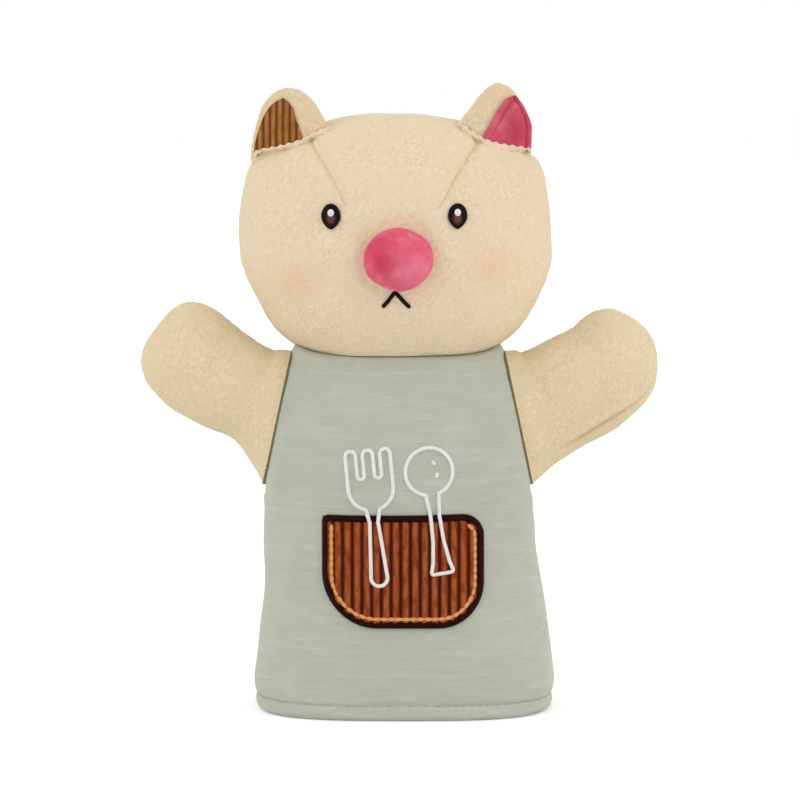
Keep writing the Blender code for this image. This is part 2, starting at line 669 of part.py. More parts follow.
# Eyes, glints and mouth
FACE_THREAD = add_cutter("face_thread", head_form(SEAT_GAP + THREAD_RISE))
GLINT_SEAT = add_cutter("glint_seat", head_form(2 * SEAT_GAP + THREAD_RISE))
GLINT_TOP = add_cutter("glint_top", head_form(2 * SEAT_GAP + 1.6 * THREAD_RISE))
for hand, side in (("left", -1), ("right", 1)):
    x = side * EYE_SPACING / 2
    z = HEAD_Z + EYE_ABOVE_CENTRE
    outline = []
    for k in range(18):
        angle = 2 * math.pi * k / 18
        narrow = 1 - 0.16 * max(0.0, -math.sin(angle)) ** 2
        outline.append((x + EYE_WIDTH / 2 * math.cos(angle) * narrow, z + EYE_HEIGHT / 2 * math.sin(angle)))
    eye = add_object(hand + "_eye", prism(outline), PARTS, DARK_THREAD)
    cut(eye, FACE_THREAD, 'INTERSECT')
    cut(eye, HEAD_SEAT)
    hang(eye, HEAD)
    spot = []
    for k in range(10):
        angle = 2 * math.pi * k / 10
        reach = z + 0.18 * EYE_HEIGHT + 0.15 * EYE_HEIGHT * math.sin(angle)
        spot.append((x + 0.15 * EYE_WIDTH * math.cos(angle), reach))
    glint = add_object(hand + "_eye_glint", prism(spot), PARTS, WHITE_THREAD)
    cut(glint, GLINT_TOP, 'INTERSECT')
    cut(glint, GLINT_SEAT)
    hang(glint, HEAD)
apex = HEAD_Z - NOSE_BELOW_CENTRE - NOSE_HALF_HEIGHT - 0.75 * MOUTH_STROKE - MOUTH_BELOW_NOSE
chevron = [(-MOUTH_REACH, apex - MOUTH_REACH), (-0.35 * MOUTH_REACH, apex - 0.4 * MOUTH_REACH)]
chevron += [(0.0, apex), (0.35 * MOUTH_REACH, apex - 0.4 * MOUTH_REACH), (MOUTH_REACH, apex - MOUTH_REACH)]
mouth = add_object("mouth_stitch", band(chevron, MOUTH_STROKE, False), PARTS, DARK_THREAD)
cut(mouth, FACE_THREAD, 'INTERSECT')
cut(mouth, HEAD_SEAT)
hang(mouth, HEAD)

# Ears: terry back leaf and a lining leaf on the outer part of its front
LINING_FORWARD = EAR_CLOTH / 2 + EAR_LINING / 2 + 2 * SEAT_GAP
for hand, side, stuff in (("left", -1, CORDUROY), ("right", 1, VELOUR)):
    back = add_object(hand + "_ear_back", ear_sheet(side, -1.0, 1.0, 0.0, 0.97, 0.0, 4, 4), PARTS, TERRY)
    lining = add_object(hand + "_ear_lining", ear_sheet(
        side, -0.35, 0.90, 0.0, 0.84, LINING_FORWARD, 3, 4), PARTS, stuff)
    for leaf, thick in ((back, EAR_CLOTH), (lining, EAR_LINING)):
        shell = leaf.modifiers.new("thickness", 'SOLIDIFY')
        shell.thickness = thick
        shell.offset = 0.0
        soft = leaf.modifiers.new("soft", 'SUBSURF')
        soft.levels = 1
        soft.render_levels = 1
        cut(leaf, HEAD_SEAT)
        hang(leaf, HEAD)

# Arms: a bending root strip, then front and back sleeve panels
for hand, side in (("left", -1), ("right", 1)):
    start, axis = arm_axis(side)
    point = start + axis * (SLEEVE_ROOT_LENGTH / 2)
    shoulder = pivot(hand + "_shoulder_pivot", point)
    arm = pivot(hand + "_arm_pivot", point, shoulder)
    low = SEAT_GAP
    high = SLEEVE_ROOT_LENGTH - SEAT_GAP
    root = add_object(hand + "_sleeve_root", sleeve_root_form(side, low, high, 0.0), PARTS, TERRY)
    bore = add_cutter(hand + "_root_bore", sleeve_root_form(
        side, low - 0.002, high + 0.002, -TERRY_CLOTH))
    cut(root, bore)
    hang(root, shoulder)
    hollow = add_cutter(hand + "_arm_bore", arm_form(side, SLEEVE_ROOT_LENGTH - 0.002, -TERRY_CLOTH))
    for name, half in (("_arm_front", FRONT_HALF), ("_arm_back", BACK_HALF)):
        panel = add_object(hand + name, arm_form(side, SLEEVE_ROOT_LENGTH, 0.0), PARTS, TERRY)
        cut(panel, hollow)
        cut(panel, half, 'INTERSECT')
        hang(panel, arm)
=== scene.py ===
from math import atan2, copysign, cos, exp, hypot, pi, radians, sin, sqrt, tan

import bmesh
import bpy
from mathutils import Color, Matrix, Vector, noise
from mathutils.bvhtree import BVHTree


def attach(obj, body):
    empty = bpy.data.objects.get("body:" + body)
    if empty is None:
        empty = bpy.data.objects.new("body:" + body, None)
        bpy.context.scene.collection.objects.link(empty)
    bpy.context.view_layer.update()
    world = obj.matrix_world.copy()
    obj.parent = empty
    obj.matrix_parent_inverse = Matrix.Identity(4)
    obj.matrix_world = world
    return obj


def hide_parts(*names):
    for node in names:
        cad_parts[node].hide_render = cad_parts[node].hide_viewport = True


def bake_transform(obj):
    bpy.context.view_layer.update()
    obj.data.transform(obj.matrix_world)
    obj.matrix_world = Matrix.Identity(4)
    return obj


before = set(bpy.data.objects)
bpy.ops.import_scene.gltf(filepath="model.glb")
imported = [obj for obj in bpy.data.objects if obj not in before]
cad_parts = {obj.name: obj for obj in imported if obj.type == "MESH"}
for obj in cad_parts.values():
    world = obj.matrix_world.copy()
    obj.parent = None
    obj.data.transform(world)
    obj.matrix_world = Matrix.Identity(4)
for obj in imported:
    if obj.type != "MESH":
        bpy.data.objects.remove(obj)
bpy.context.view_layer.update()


# Head: two panels of beige terry towelling sewn ear to ear and turned, then
# stuffed firm with fibre. Two darts shape the forehead, and the neck edge is
# turned in under the chin.
class Dye:
    """One value in a cloth's shader: arithmetic adds Math nodes, node() adds any other."""

    def __init__(self, tree, socket=None):
        self.tree = tree
        self.socket = socket

    def node(self, kind, settings, inputs, output=0):
        made = self.tree.nodes.new("ShaderNode" + kind)
        for name, value in settings.items():
            setattr(made, name, value)
        for name, value in inputs.items():
            if isinstance(value, Dye):
                self.tree.links.new(value.socket, made.inputs[name])
            else:
                made.inputs[name].default_value = value
        return Dye(self.tree, made.outputs[output])

    def sum_of(self, operation, *values):
        return self.node("Math", {"operation": operation}, dict(enumerate(values)))

    def __add__(self, other):
        return self.sum_of('ADD', self, other)

    def __sub__(self, other):
        return self.sum_of('SUBTRACT', self, other)

    def __rsub__(self, other):
        return self.sum_of('SUBTRACT', other, self)

    def __mul__(self, other):
        return self.sum_of('MULTIPLY', self, other)

    def __pow__(self, other):
        return self.sum_of('POWER', self, other)

    __radd__ = __add__
    __rmul__ = __mul__

    def clamped(self):
        return self.node("Clamp", {}, {"Value": self})

    def between(self, low, high):
        limits = {"Value": self, "From Min": low, "From Max": high}
        return self.node("MapRange", {"interpolation_type": 'SMOOTHSTEP'}, limits)

    def blended(self, first, second):
        return self.node("Mix", {"data_type": 'RGBA'}, {0: self, 6: shade(first), 7: shade(second)}, 2)

    def place(self):
        return self.node("TexCoord", {}, {}, "Object")

    def axes(self, place):
        return [self.node("SeparateXYZ", {}, {"Vector": place}, axis) for axis in "XYZ"]

    def flecks(self, place, scale, detail, **more):
        return self.node("TexNoise", {}, {"Vector": place, "Scale": scale, "Detail": detail, **more}, "Fac")

    def moved(self, place, **how):
        return self.node("Mapping", {}, {"Vector": place, **how})

    def waves(self):
        return self.sum_of('SINE', self) * 0.5 + 0.5


def shade(tone):
    """A colour read off the cloth, 0 to 255, as the shader's linear value; a mixed colour stays itself."""
    if isinstance(tone, Dye):
        return tone
    return (*Color([part / 255 for part in tone]).from_srgb_to_scene_linear(), 1.0)


def bolt_of_cloth(name, roughness, sheen, fuzz=(255, 255, 255), gloss=0.15):
    """A new cloth: its material and the start of its node sums."""
    cloth = bpy.data.materials.new(name)
    cloth.use_nodes = True
    shader = cloth.node_tree.nodes["Principled BSDF"]
    for feature, value in (("Roughness", roughness), ("Specular IOR Level", gloss), ("Sheen Weight", sheen),
                           ("Sheen Roughness", 0.5), ("Sheen Tint", shade(fuzz))):
        shader.inputs[feature].default_value = value
    return cloth, Dye(cloth.node_tree)


def dyed(cloth, colour, height, lift, strength):
    """Feed a colour and a raised surface into a cloth's shader."""
    shader = cloth.node_tree.nodes["Principled BSDF"]
    bump = height.node("Bump", {}, {"Height": height, "Distance": lift, "Strength": strength})
    for value, feature in ((colour, "Base Color"), (bump, "Normal")):
        cloth.node_tree.links.new(value.socket, shader.inputs[feature])
    return cloth


def terry(name, body, shadow, light, cheeks=()):
    """Towelling: short crowded loops with darker gaps, a little uneven in the dye."""
    cloth, start = bolt_of_cloth(name, 0.95, 0.35, light)
    place = start.place()
    rows = start.node("Mapping", {"vector_type": 'TEXTURE'}, {
        "Vector": place, "Rotation": (0, radians(42), 0), "Scale": (1.0, 1.0, 1.9)})
    loops = start.flecks(rows, 1020.0, 4.0, Roughness=0.62)
    fibre = start.flecks(place, 3000.0, 3.0)
    cloud = start.flecks(place, 75.0, 3.0)
    tone = loops.between(0.36, 0.64).blended(shadow, light)
    tone = (cloud.between(0.35, 0.75) * 0.5 + 0.25).blended(tone, body)
    tone = (fibre.between(0.5, 0.8) * 0.25).blended(tone, light)
    if cheeks:
        across, along, up = start.axes(place)
        front = (0.0 - along).between(0.012, 0.03)
        for x, z in cheeks:
            off = ((across - x) * 84.0) ** 2.0 + ((up - z) * 95.0) ** 2.0
            rouge = (1.0 - off).clamped()
            tone = (rouge * front * 0.36).blended(tone, (234, 178, 152))
    return dyed(cloth, tone, loops + fibre * 0.35, 0.0011, 0.5)


def within(share):
    """A share kept between none and all."""
    return min(1.0, max(0.0, share))


def smooth(share):
    """A share kept between none and all that eases in and out."""
    share = within(share)
    return share * share * (3 - 2 * share)


def pinch(distance, width, depth):
    """How far a stitched line pulls the cloth in at a distance from it."""
    return -depth * exp(-(distance / width) ** 2)


def ripple(point, spacing, height, seed):
    """Soft unevenness of stuffed or hanging cloth."""
    return height * noise.noise(point / spacing + Vector((seed, 3.7 * seed, 1.3)))


def tuft(point, spacing, height):
    """The small crowded bumps of a pile."""
    return height * (noise.cell(point / spacing) * 0.5 + noise.noise(point / (1.7 * spacing)))


def terry_pile(point):
    """The height of the towelling's pile at a spot."""
    return tuft(point, 0.0011, 0.00016)


def along_line(x, z, line):
    """Nearest distance from a spot on the face to a line, and how far along it."""
    best = (1.0, 0.0)
    spot = Vector((x, z))
    for k in range(len(line) - 1):
        first, last = Vector(line[k]), Vector(line[k + 1])
        run = last - first
        share = within((spot - first).dot(run) / run.length_squared)
        gap = (spot - first - run * share).length
        if gap < best[0]:
            best = (gap, (k + share) / (len(line) - 1))
    return best


def cut_away(bm, spot, way):
    """Cut cloth along a plane through a spot and drop what lies beyond it."""
    whole = list(bm.verts) + list(bm.edges) + list(bm.faces)
    bmesh.ops.bisect_plane(bm, geom=whole, plane_co=spot, plane_no=way, clear_outer=True)


def put_in(name, data):
    """Put a piece, a lamp or a camera into the scene."""
    thing = bpy.data.objects.new(name, data)
    bpy.context.scene.collection.objects.link(thing)
    return thing


def finished(name, bm, cloth):
    """Turn a bmesh into a smooth-shaded piece that sits at the origin."""
    mesh = bpy.data.meshes.new(name)
    for edge in bm.edges:
        edge.smooth = not edge.is_boundary
    bm.normal_update()
    bm.to_mesh(mesh)
    bm.free()
    mesh.shade_smooth()
    mesh.materials.append(cloth)
    return put_in(name, mesh)


def doubled(piece, thickness, side=-1.0):
    """Give cloth its thickness, inwards from its right side unless told otherwise."""
    wall = piece.modifiers.new("cloth_thickness", 'SOLIDIFY')
    wall.thickness = thickness
    wall.offset = side


head_mid = Vector((0.0, 0.00638, 0.1865))
head_wide, head_deep, head_crown, head_jowl = 0.0615, 0.0420, 0.0455, 0.0505
plan_power, side_power = 2.3, 2.8
jaw_height, jaw_run, jaw_taper = 0.180, 0.024, 0.062
lean_height, lean_run, head_lean = 0.165, 0.035, 0.0012
crown_height, crown_run, crown_rise, crown_wide = 0.2140, 0.0160, 0.0018, 0.0300
neck_height, neck_rim_wide, neck_rim_deep, terry_thick = 0.1408, 0.0385, 0.0262, 0.0012
corner_x, corner_z = 0.0560, 0.2150
eye_places = (Vector((-0.0256, 0.1958)), Vector((0.0228, 0.1960)))
nose_place, mouth_place = Vector((0.0002, 0.1797)), Vector((0.0, 0.1640))
dart_lines = (
    ((-0.0342, 0.2246), (-0.0253, 0.2105), (-0.0219, 0.2038), (-0.0196, 0.2000)),
    ((0.0312, 0.2242), (0.0220, 0.2105), (0.0182, 0.2030), (0.0154, 0.1990)))
head_terry = terry("beige_terry", (229, 209, 178), (219, 197, 163), (235, 217, 188),
                   ((-0.0389, 0.1704), (0.0374, 0.1755)))
head = bmesh.new()
bmesh.ops.create_icosphere(head, subdivisions=7, radius=1.0)
for vert in head.verts:
    way = vert.co.normalized()
    tall = head_crown if way.z > 0 else head_jowl
    plan = (abs(way.x) / head_wide) ** plan_power + (abs(way.y) / head_deep) ** plan_power
    form = plan ** (side_power / plan_power) + (abs(way.z) / tall) ** side_power
    vert.co = head_mid + way * form ** (-1 / side_power)
    jaw = smooth((jaw_height - vert.co.z) / jaw_run)
    lean = smooth((vert.co.z - lean_height) / lean_run)
    vert.co.x = vert.co.x * (1 - jaw_taper * jaw) - head_lean * lean
    high = smooth((vert.co.z - crown_height) / crown_run)
    vert.co.z += crown_rise * high * max(0.0, 1 - (vert.co.x / crown_wide) ** 2) ** 1.3
head.normal_update()
for vert in head.verts:
    spot = vert.co.copy()
    shift = ripple(spot, 0.034, 0.0011, 1.0) + ripple(spot, 0.014, 0.0004, 2.0)
    corner = Vector((abs(spot.x + head_lean) - corner_x, 0.6 * (spot.y + 0.004), spot.z - corner_z))
    shift -= pinch(corner.length, 0.0085, 0.0020)
    seam = abs(spot.y - head_mid.y)
    shift += pinch(seam, 0.0011, 0.0011) - pinch(seam - 0.004, 0.003, 0.0003)
    if spot.y < head_mid.y - 0.006:
        for line in dart_lines:
            gap, share = along_line(spot.x, spot.z, line)
            fade = 1.0 - 0.75 * share ** 1.5
            shift += pinch(gap, 0.0012, 0.0010 * fade) - pinch(gap - 0.0045, 0.0035, 0.0007 * fade)
        flat = Vector((spot.x, spot.z))
        for eye in eye_places:
            shift += pinch((flat - eye).length, 0.0068, 0.0011)
        shift += pinch((flat - nose_place).length - 0.0130, 0.0030, 0.0006)
        shift += pinch((flat - mouth_place).length, 0.0060, 0.0006)
    vert.co = spot + vert.normal * (shift + terry_pile(spot))
cut_away(head, (0, 0, neck_height), (0, 0, -1))
rim = [edge for edge in head.edges if edge.is_boundary]
for share, rise in ((0.90, -0.0002), (0.80, 0.0), (0.70, 0.0004), (0.655, 0.0012), (0.64, 0.0040)):
    turned = bmesh.ops.extrude_edge_only(head, edges=rim)["geom"]
    rim = [part for part in turned if isinstance(part, bmesh.types.BMEdge)]
    for vert in {vert for edge in rim for vert in edge.verts}:
        across = Vector((vert.co.x / neck_rim_wide, (vert.co.y - head_mid.y) / neck_rim_deep)).normalized()
        vert.co = Vector((across.x * neck_rim_wide * share, head_mid.y + across.y * neck_rim_deep * share,
                          neck_height + rise))
bmesh.ops.recalc_face_normals(head, faces=head.faces)
face_surface = BVHTree.FromBMesh(head)
head_piece = finished("head_skin", head, head_terry)
doubled(head_piece, terry_thick)
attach(head_piece, "head")
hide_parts("face_panel", "head_back", "head_stuffing")


# Finger pocket: a cotton tube sewn into the neck edge, which keeps the fibre off
# the finger that holds the head up. Its mouth flares to the turned-in neck edge.
def cotton(name, body, shadow):
    """Plain woven lining."""
    cloth, start = bolt_of_cloth(name, 0.9, 0.05)
    place = start.place()
    across, along, up = start.axes(place)
    warp = start.sum_of('SINE', (across + along) * 9000.0)
    weft = start.sum_of('SINE', up * 9000.0)
    weave = warp * weft * 0.5 + 0.5
    cloud = start.flecks(place, 160.0, 3.0)
    tone = (weave * 0.5 + cloud * 0.5).blended(shadow, body)
    return dyed(cloth, tone, weave, 0.0002, 0.4)


def mix(first, last, share):
    """A value between two, at a share of the way."""
    return first + (last - first) * share


lining_cotton = cotton("cream_cotton", (226, 217, 198), (178, 166, 144))
pocket = bmesh.new()
profile = ((0.0244, 0.0010), (0.0205, 0.0035), (0.0158, 0.0070), (0.0138, 0.0145), (0.0128, 0.0300),
           (0.0125, 0.0440), (0.0100, 0.0500), (0.0055, 0.0538), (0.0, 0.0550))
stitches = [pocket.verts.new((x, 0.0, neck_height + z)) for x, z in profile]
line = [pocket.edges.new(pair) for pair in zip(stitches, stitches[1:])]
bmesh.ops.spin(pocket, geom=stitches + line, cent=(0, 0, 0), axis=(0, 0, 1), angle=2 * pi,
               steps=48, use_merge=True)
bmesh.ops.remove_doubles(pocket, verts=pocket.verts, dist=0.00001)
for vert in pocket.verts:
    flare = within((vert.co.z - neck_height) / 0.0145)
    vert.co.y = head_mid.y + vert.co.y * mix(0.69, 1.0, flare)
    vert.co += Vector((0, 0, ripple(vert.co, 0.011, 0.0006, 5.0)))
bmesh.ops.recalc_face_normals(pocket, faces=pocket.faces)
pocket_piece = finished("finger_pocket_lining", pocket, lining_cotton)
doubled(pocket_piece, 0.0009, 0.0)
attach(pocket_piece, "head")
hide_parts("finger_pocket")


# Ears: a cupped leaf of terry, its lining sewn to the outer part of the front and
# the terry folded over the rest. The raw edge is caught under a scalloped fold of
# the face panel, just in front of the ear-to-ear seam.
def laid(columns, rows, place):
    """A grid of cloth put in place, u and v from 0 to 1, with its edges welded where they meet."""
    bm = bmesh.new()
    bm.loops.layers.uv.new("UVMap")
    bmesh.ops.create_grid(bm, x_segments=columns, y_segments=rows, size=0.5, calc_uvs=True)
    for vert in bm.verts:
        vert.co = place(vert.co.x + 0.5, vert.co.y + 0.5)
    bmesh.ops.remove_doubles(bm, verts=bm.verts, dist=0.000002)
    bmesh.ops.recalc_face_normals(bm, faces=bm.faces)
    bm.normal_update()
    return bm


def corduroy(name, groove_shade, body, crest_highlight, start_x, pitch, nap):
    """Cut pile in upright ribs: painted shade between the ribs, a broken painted highlight along the crests."""
    cloth, start = bolt_of_cloth(name, 0.85, 0.3, crest_highlight)
    place = start.place()
    across = start.axes(place)[0]
    drawn = start.node("VectorMath", {"operation": 'MULTIPLY'}, {0: place, 1: (1.0, 1.0, 0.3)})
    streaks = start.flecks(drawn, 520.0, 3.0)
    pile = start.flecks(place, 2400.0, 2.0)
    wale = start.sum_of('ABSOLUTE', start.sum_of('SINE', (across - start_x) * (pi / pitch)))
    # Painted shade: the grooves between the ribs are darker, their edges broken up by the streaks.
    tone = (wale + (streaks - 0.5) * 0.5).between(0.12, 0.92).blended(groove_shade, body)
    # Painted highlight along the rib crests, broken up by the streaks.
    tone = (wale.between(0.50, 0.98) * streaks.between(0.36, 0.62) * nap).blended(tone, crest_highlight)
    # Fine flecks of the grooves' painted shade in the pile.
    tone = (pile.between(0.5, 0.75) * 0.35).blended(tone, groove_shade)
    return dyed(cloth, tone, wale * 0.6 + pile * 0.5, 0.0006, 0.5)


def velour(name, body, deep, light, spots):
    """Short brushed pile, mottled darker and lighter, with round spots of other tones laid over it."""
    cloth, start = bolt_of_cloth(name, 0.8, 0.45, light)
    place = start.place()
    brushed = start.flecks(place, 150.0, 3.0)
    pile = start.flecks(place, 1900.0, 3.0)
    tone = brushed.between(0.40, 0.68).blended(body, light)
    # Each spot moves the colour towards its own tone, fading out from its middle: two darker and one lighter patch
    # on the nose, a darker middle on the ear lining.
    for spot, size, much, spot_tone in spots:
        away = start.node("VectorMath", {"operation": 'DISTANCE'}, {0: place, 1: spot}, "Value")
        near_spot = (1.0 - away * (1.0 / size)).clamped()
        tone = (near_spot.between(0.0, 0.8) * (brushed * 0.7 + 0.5).clamped() * much).blended(tone, spot_tone)
    tone = (pile.between(0.48, 0.78) * 0.4).blended(tone, deep)
    return dyed(cloth, tone, pile + brushed, 0.0005, 0.35)


def eased(points, steps):
    """A smooth line drawn through points."""
    line = []
    ends = [Vector(point) for point in (points[0], *points, points[-1])]
    for before, first, last, after in zip(ends, ends[1:], ends[2:], ends[3:]):
        for step in range(steps):
            t = step / steps
            line.append(0.5 * (2 * first + (last - before) * t + (2 * before - 5 * first + 4 * last - after) * t ** 2
                               + (3 * first - before - 3 * last + after) * t ** 3))
    return line + ends[-1:]


def spaced(points, step, closed=False):
    """Points at even steps along a line on the cloth."""
    line = [Vector(point) for point in points]
    if closed:
        line.append(line[0].copy())
    run = [0.0]
    for first, last in zip(line, line[1:]):
        run.append(run[-1] + (last - first).length)
    count = max(4, round(run[-1] / step))
    out = []
    k = 0
    for i in range(count if closed else count + 1):
        want = run[-1] * i / count
        while k < len(run) - 2 and run[k + 1] < want:
            k += 1
        share = (want - run[k]) / max(run[k + 1] - run[k], 1e-9)
        out.append(line[k].lerp(line[k + 1], share))
    return out


def bulged(value, power):
    """A value from -1 to 1, made fuller or slacker but of the same sign."""
    return copysign(abs(value) ** power, value)


def between_edges(outer, inner, u, v):
    """A spot between a leaf's inner and outer edge, at a share of the way up both."""
    ends = []
    for edge in (inner, outer):
        at = v * (len(edge) - 1)
        k = min(int(at), len(edge) - 2)
        ends.append(edge[k].lerp(edge[k + 1], at - k))
    return ends[0].lerp(ends[1], u)


def mm_line(side, points):
    """An edge drawn in millimetres, outwards and up, as metres on its own side."""
    return [Vector((side * x / 1000, z / 1000)) for x, z in eased(points, 10)]


def onto(surface, x, z, lift):
    """The spot on a surface straight in front of x and z, lifted towards the viewer."""
    hit = surface.ray_cast(Vector((x, -0.5, z)), Vector((0, 1, 0)))[0]
    if hit is None:
        hit = surface.find_nearest(Vector((x, -0.01, z)))[0]
    return Vector((x, hit.y - lift, z))


def on_face(x, z, lift):
    """A spot lifted off the face."""
    return onto(face_surface, x, z, lift)


def closed_up(bm):
    """Close the open ends of a tube."""
    bmesh.ops.holes_fill(bm, edges=[edge for edge in bm.edges if edge.is_boundary], sides=0)
    bmesh.ops.recalc_face_normals(bm, faces=bm.faces)


def stitched(seat, points, width, rise, sink, ribs, slant, depth=0.10, closed=False):
    """A raised satin-stitched stroke along a line, seated on the cloth spot by spot."""
    step = width / 7
    path = spaced(points, step, closed)
    count = len(path)
    ends = []
    for k, spot in enumerate(path):
        before = path[(k - 1) % count] if closed or k else spot
        after = path[(k + 1) % count] if closed or k + 1 < count else spot
        ends.append((spot, (after - before).normalized()))

    def place(u, v):
        k = round(u * count) % count if closed else round(u * (count - 1))
        spot, run = ends[k]
        turn = 2 * pi * v
        taper = 1.0
        if not closed:
            edge = min(k, count - 1 - k) * step
            taper = sqrt(max(0.02, 1 - max(0.0, 1 - edge / (width / 2)) ** 2))
        reach = width / 2 * cos(turn) * taper
        swell = sin(turn)
        ridge = 1.0 + depth * sin(2 * pi * (k * step + slant * reach) / ribs)
        lift = rise * swell * ridge * taper if swell > 0 else sink * swell
        return seat(spot.x - run.y * reach * ridge, spot.y + run.x * reach * ridge, lift)

    bm = laid(count if closed else count - 1, 12, place)
    if not closed:
        closed_up(bm)
    return bm


ear_thick, ear_lining_thick, ear_wale_start, ear_wale = 0.0034, 0.0012, -0.0600, 0.0026
# The same beige terry as the head, painted darker: painted shade on the ear leaves.
shaded_ear_terry = terry("shaded_ear_terry", (222, 198, 164), (211, 186, 149), (228, 207, 175))
ear_corduroy = corduroy("ear_corduroy", (98, 52, 14), (146, 91, 40), (178, 124, 68),
                        ear_wale_start, ear_wale, 0.7)
ear_velour = velour("ear_velour", (194, 74, 94), (154, 40, 58), (214, 106, 124),
                    (((0.0450, -0.0120, 0.2270), 0.0085, 0.75, (164, 48, 66)),))
ear_tip_y = -0.0045
ear_depths = ((0.0, -0.0120), (0.15, -0.0152), (0.30, -0.0172), (0.55, -0.0138), (0.80, -0.0085), (1.0, -0.0040))
for hand, side, ear_cloth, cloth_slot, *edges in (
        ("left", -1, ear_corduroy, "corduroy",
         ((54.0, 208), (57.4, 217.0), (56.2, 225.6), (53.8, 234.8), (50.2, 240.9), (46.0, 243.7), (42.2, 244.4)),
         ((26.0, 219), (27.0, 228.4), (29.8, 234.2), (32.8, 239.0), (37.4, 243.1), (42.2, 244.4)),
         ((55.6, 219.0), (56.0, 221.0), (54.6, 226.6), (52.0, 233.7), (48.6, 238.2), (44.6, 240.5)),
         ((36.2, 223.6), (36.9, 225.0), (38.8, 230.2), (40.4, 235.2), (42.3, 238.8), (44.6, 240.5)),
         ((55.9, 218.5), (51.9, 219.6), (45.0, 221.0), (37.5, 223.2), (31.7, 226.2), (25.7, 228.6))),
        ("right", 1, ear_velour, "velour",
         ((49.5, 208), (51.2, 217.8), (51.0, 223.5), (51.1, 229.2), (49.4, 235.2), (46.6, 240.6), (43.2, 244.6),
          (39.4, 246.3)),
         ((20.6, 222), (23.6, 230.2), (27.8, 236.2), (32.3, 242.2), (36.0, 245.4), (39.4, 246.3)),
         ((51.6, 219.8), (51.9, 221.4), (52.0, 224.8), (52.0, 229.8), (50.2, 234.8), (47.8, 239.0), (44.6, 241.2)),
         ((32.2, 224.2), (33.1, 226.0), (36.4, 231.6), (39.4, 236.8), (42.0, 240.2), (44.6, 241.2)),
         ((51.8, 219.6), (47.6, 220.3), (42.7, 221.1), (37.1, 222.3), (32.4, 224.0), (28.4, 226.4), (22.8, 230.4)))):
    ear_outer, ear_inner, lining_outer, lining_inner, fold = (mm_line(side, edge) for edge in edges)

    def ear_spot(u, v):
        """A spot on the cupped ear, which falls back either side of its front rim."""
        x, z = between_edges(ear_outer, ear_inner, u, v)
        k = max(j for j, (share, _) in enumerate(ear_depths[:-1]) if share <= max(0.0, u))
        (low, first), (high, last) = ear_depths[k:k + 2]
        base = mix(first, last, (u - low) / (high - low))
        return Vector((x, mix(base, ear_tip_y, v ** 1.2), z))

    def leaf_spot(u, v):
        """A spot round the padded leaf: up its front and back, with a soft rounded edge."""
        turn = 2 * pi * u
        share = 0.5 + 0.5 * bulged(cos(turn), 0.8)
        swell = bulged(sin(turn), 0.6) * sqrt(1 - v ** 8)
        return ear_spot(share, v) - Vector((0, ear_thick / 2 * swell, 0))

    beyond = laid(44, 56, lambda u, v: ear_spot(1.16 * u - 0.08, v))
    leaf_surface = BVHTree.FromBMesh(beyond)
    beyond.free()
    leaf = laid(96, 56, leaf_spot)
    for vert in leaf.verts:
        vert.co += vert.normal * (terry_pile(vert.co) + ripple(vert.co, 0.012, 0.0004, 7.0 + side))
    closed_up(leaf)
    leaf_piece = finished(hand + "_ear_leaf", leaf, shaded_ear_terry)
    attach(leaf_piece, "head")
    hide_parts(hand + "_ear_back")

    def lining_spot(u, v):
        """A spot on the lining, laid on the front of the ear, ribbed or with a rolled edge."""
        x, z = between_edges(lining_outer, lining_inner, u, v)
        lift = ear_thick / 2 + 0.0006
        if cloth_slot == "corduroy":
            lift += 0.0004 * abs(sin((x - ear_wale_start) * pi / ear_wale))
        else:
            ends = [between_edges(lining_outer, lining_inner, end, v) for end in (0, 1)]
            edge = min(u, 1 - u) * (ends[1] - ends[0]).length
            lift += 0.0006 - pinch(edge - 0.0007, 0.0010, 0.0004) + pinch(edge - 0.0024, 0.0006, 0.0009)
        return onto(leaf_surface, x, z, lift)

    inside = laid(60, 48, lining_spot)
    inside_piece = finished(hand + "_ear_inside", inside, ear_cloth)
    doubled(inside_piece, ear_lining_thick)
    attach(inside_piece, "head")
    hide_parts(hand + "_ear_lining")
    hand + "_ear_leaf"

    def on_foot(x, z, lift):
        """A spot on the slope from the front of the ear, at the fold's top edge, down to the head."""
        near = min(fold, key=lambda point: abs(point.x - x))
        head_y = on_face(x, z, 0.0).y
        ear_y = min(head_y, onto(leaf_surface, x, z, ear_thick / 2 + 0.0014).y)
        sunk = within((near.y + 0.0002 - z) / 0.0017)
        tail = max(0.0, 1 - min(abs(x - end.x) for end in (fold[0], fold[-1])) / 0.0035)
        y = mix(head_y, ear_y, smooth((z - near.y) / 0.0020 + 0.7)) + 0.0017 * sunk * sunk + 0.0014 * tail * tail
        return Vector((x, y - lift, z))

    fold_band = stitched(on_foot, fold, width=0.0028, rise=0.0009, sink=0.0010, ribs=0.0034, slant=0.0, depth=0.20)
    fold_piece = finished(hand + "_ear_fold", fold_band, head_terry)
    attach(fold_piece, "head")


# Dart seams: each dart is closed with one row of beige thread that sinks into the
# towelling and leaves a fine line from the ear towards the eye.
dart_thread = terry("dart_thread", (220, 198, 164), (208, 184, 148), (228, 207, 174))
for hand, line in zip(("left", "right"), dart_lines):
    seam = stitched(on_face, eased(line, 8), width=0.0008, rise=0.0002, sink=0.0004, ribs=0.0016, slant=0.0,
                    depth=0.15)
    dart_piece = finished(hand + "_dart_seam", seam, dart_thread)
    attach(dart_piece, "head")


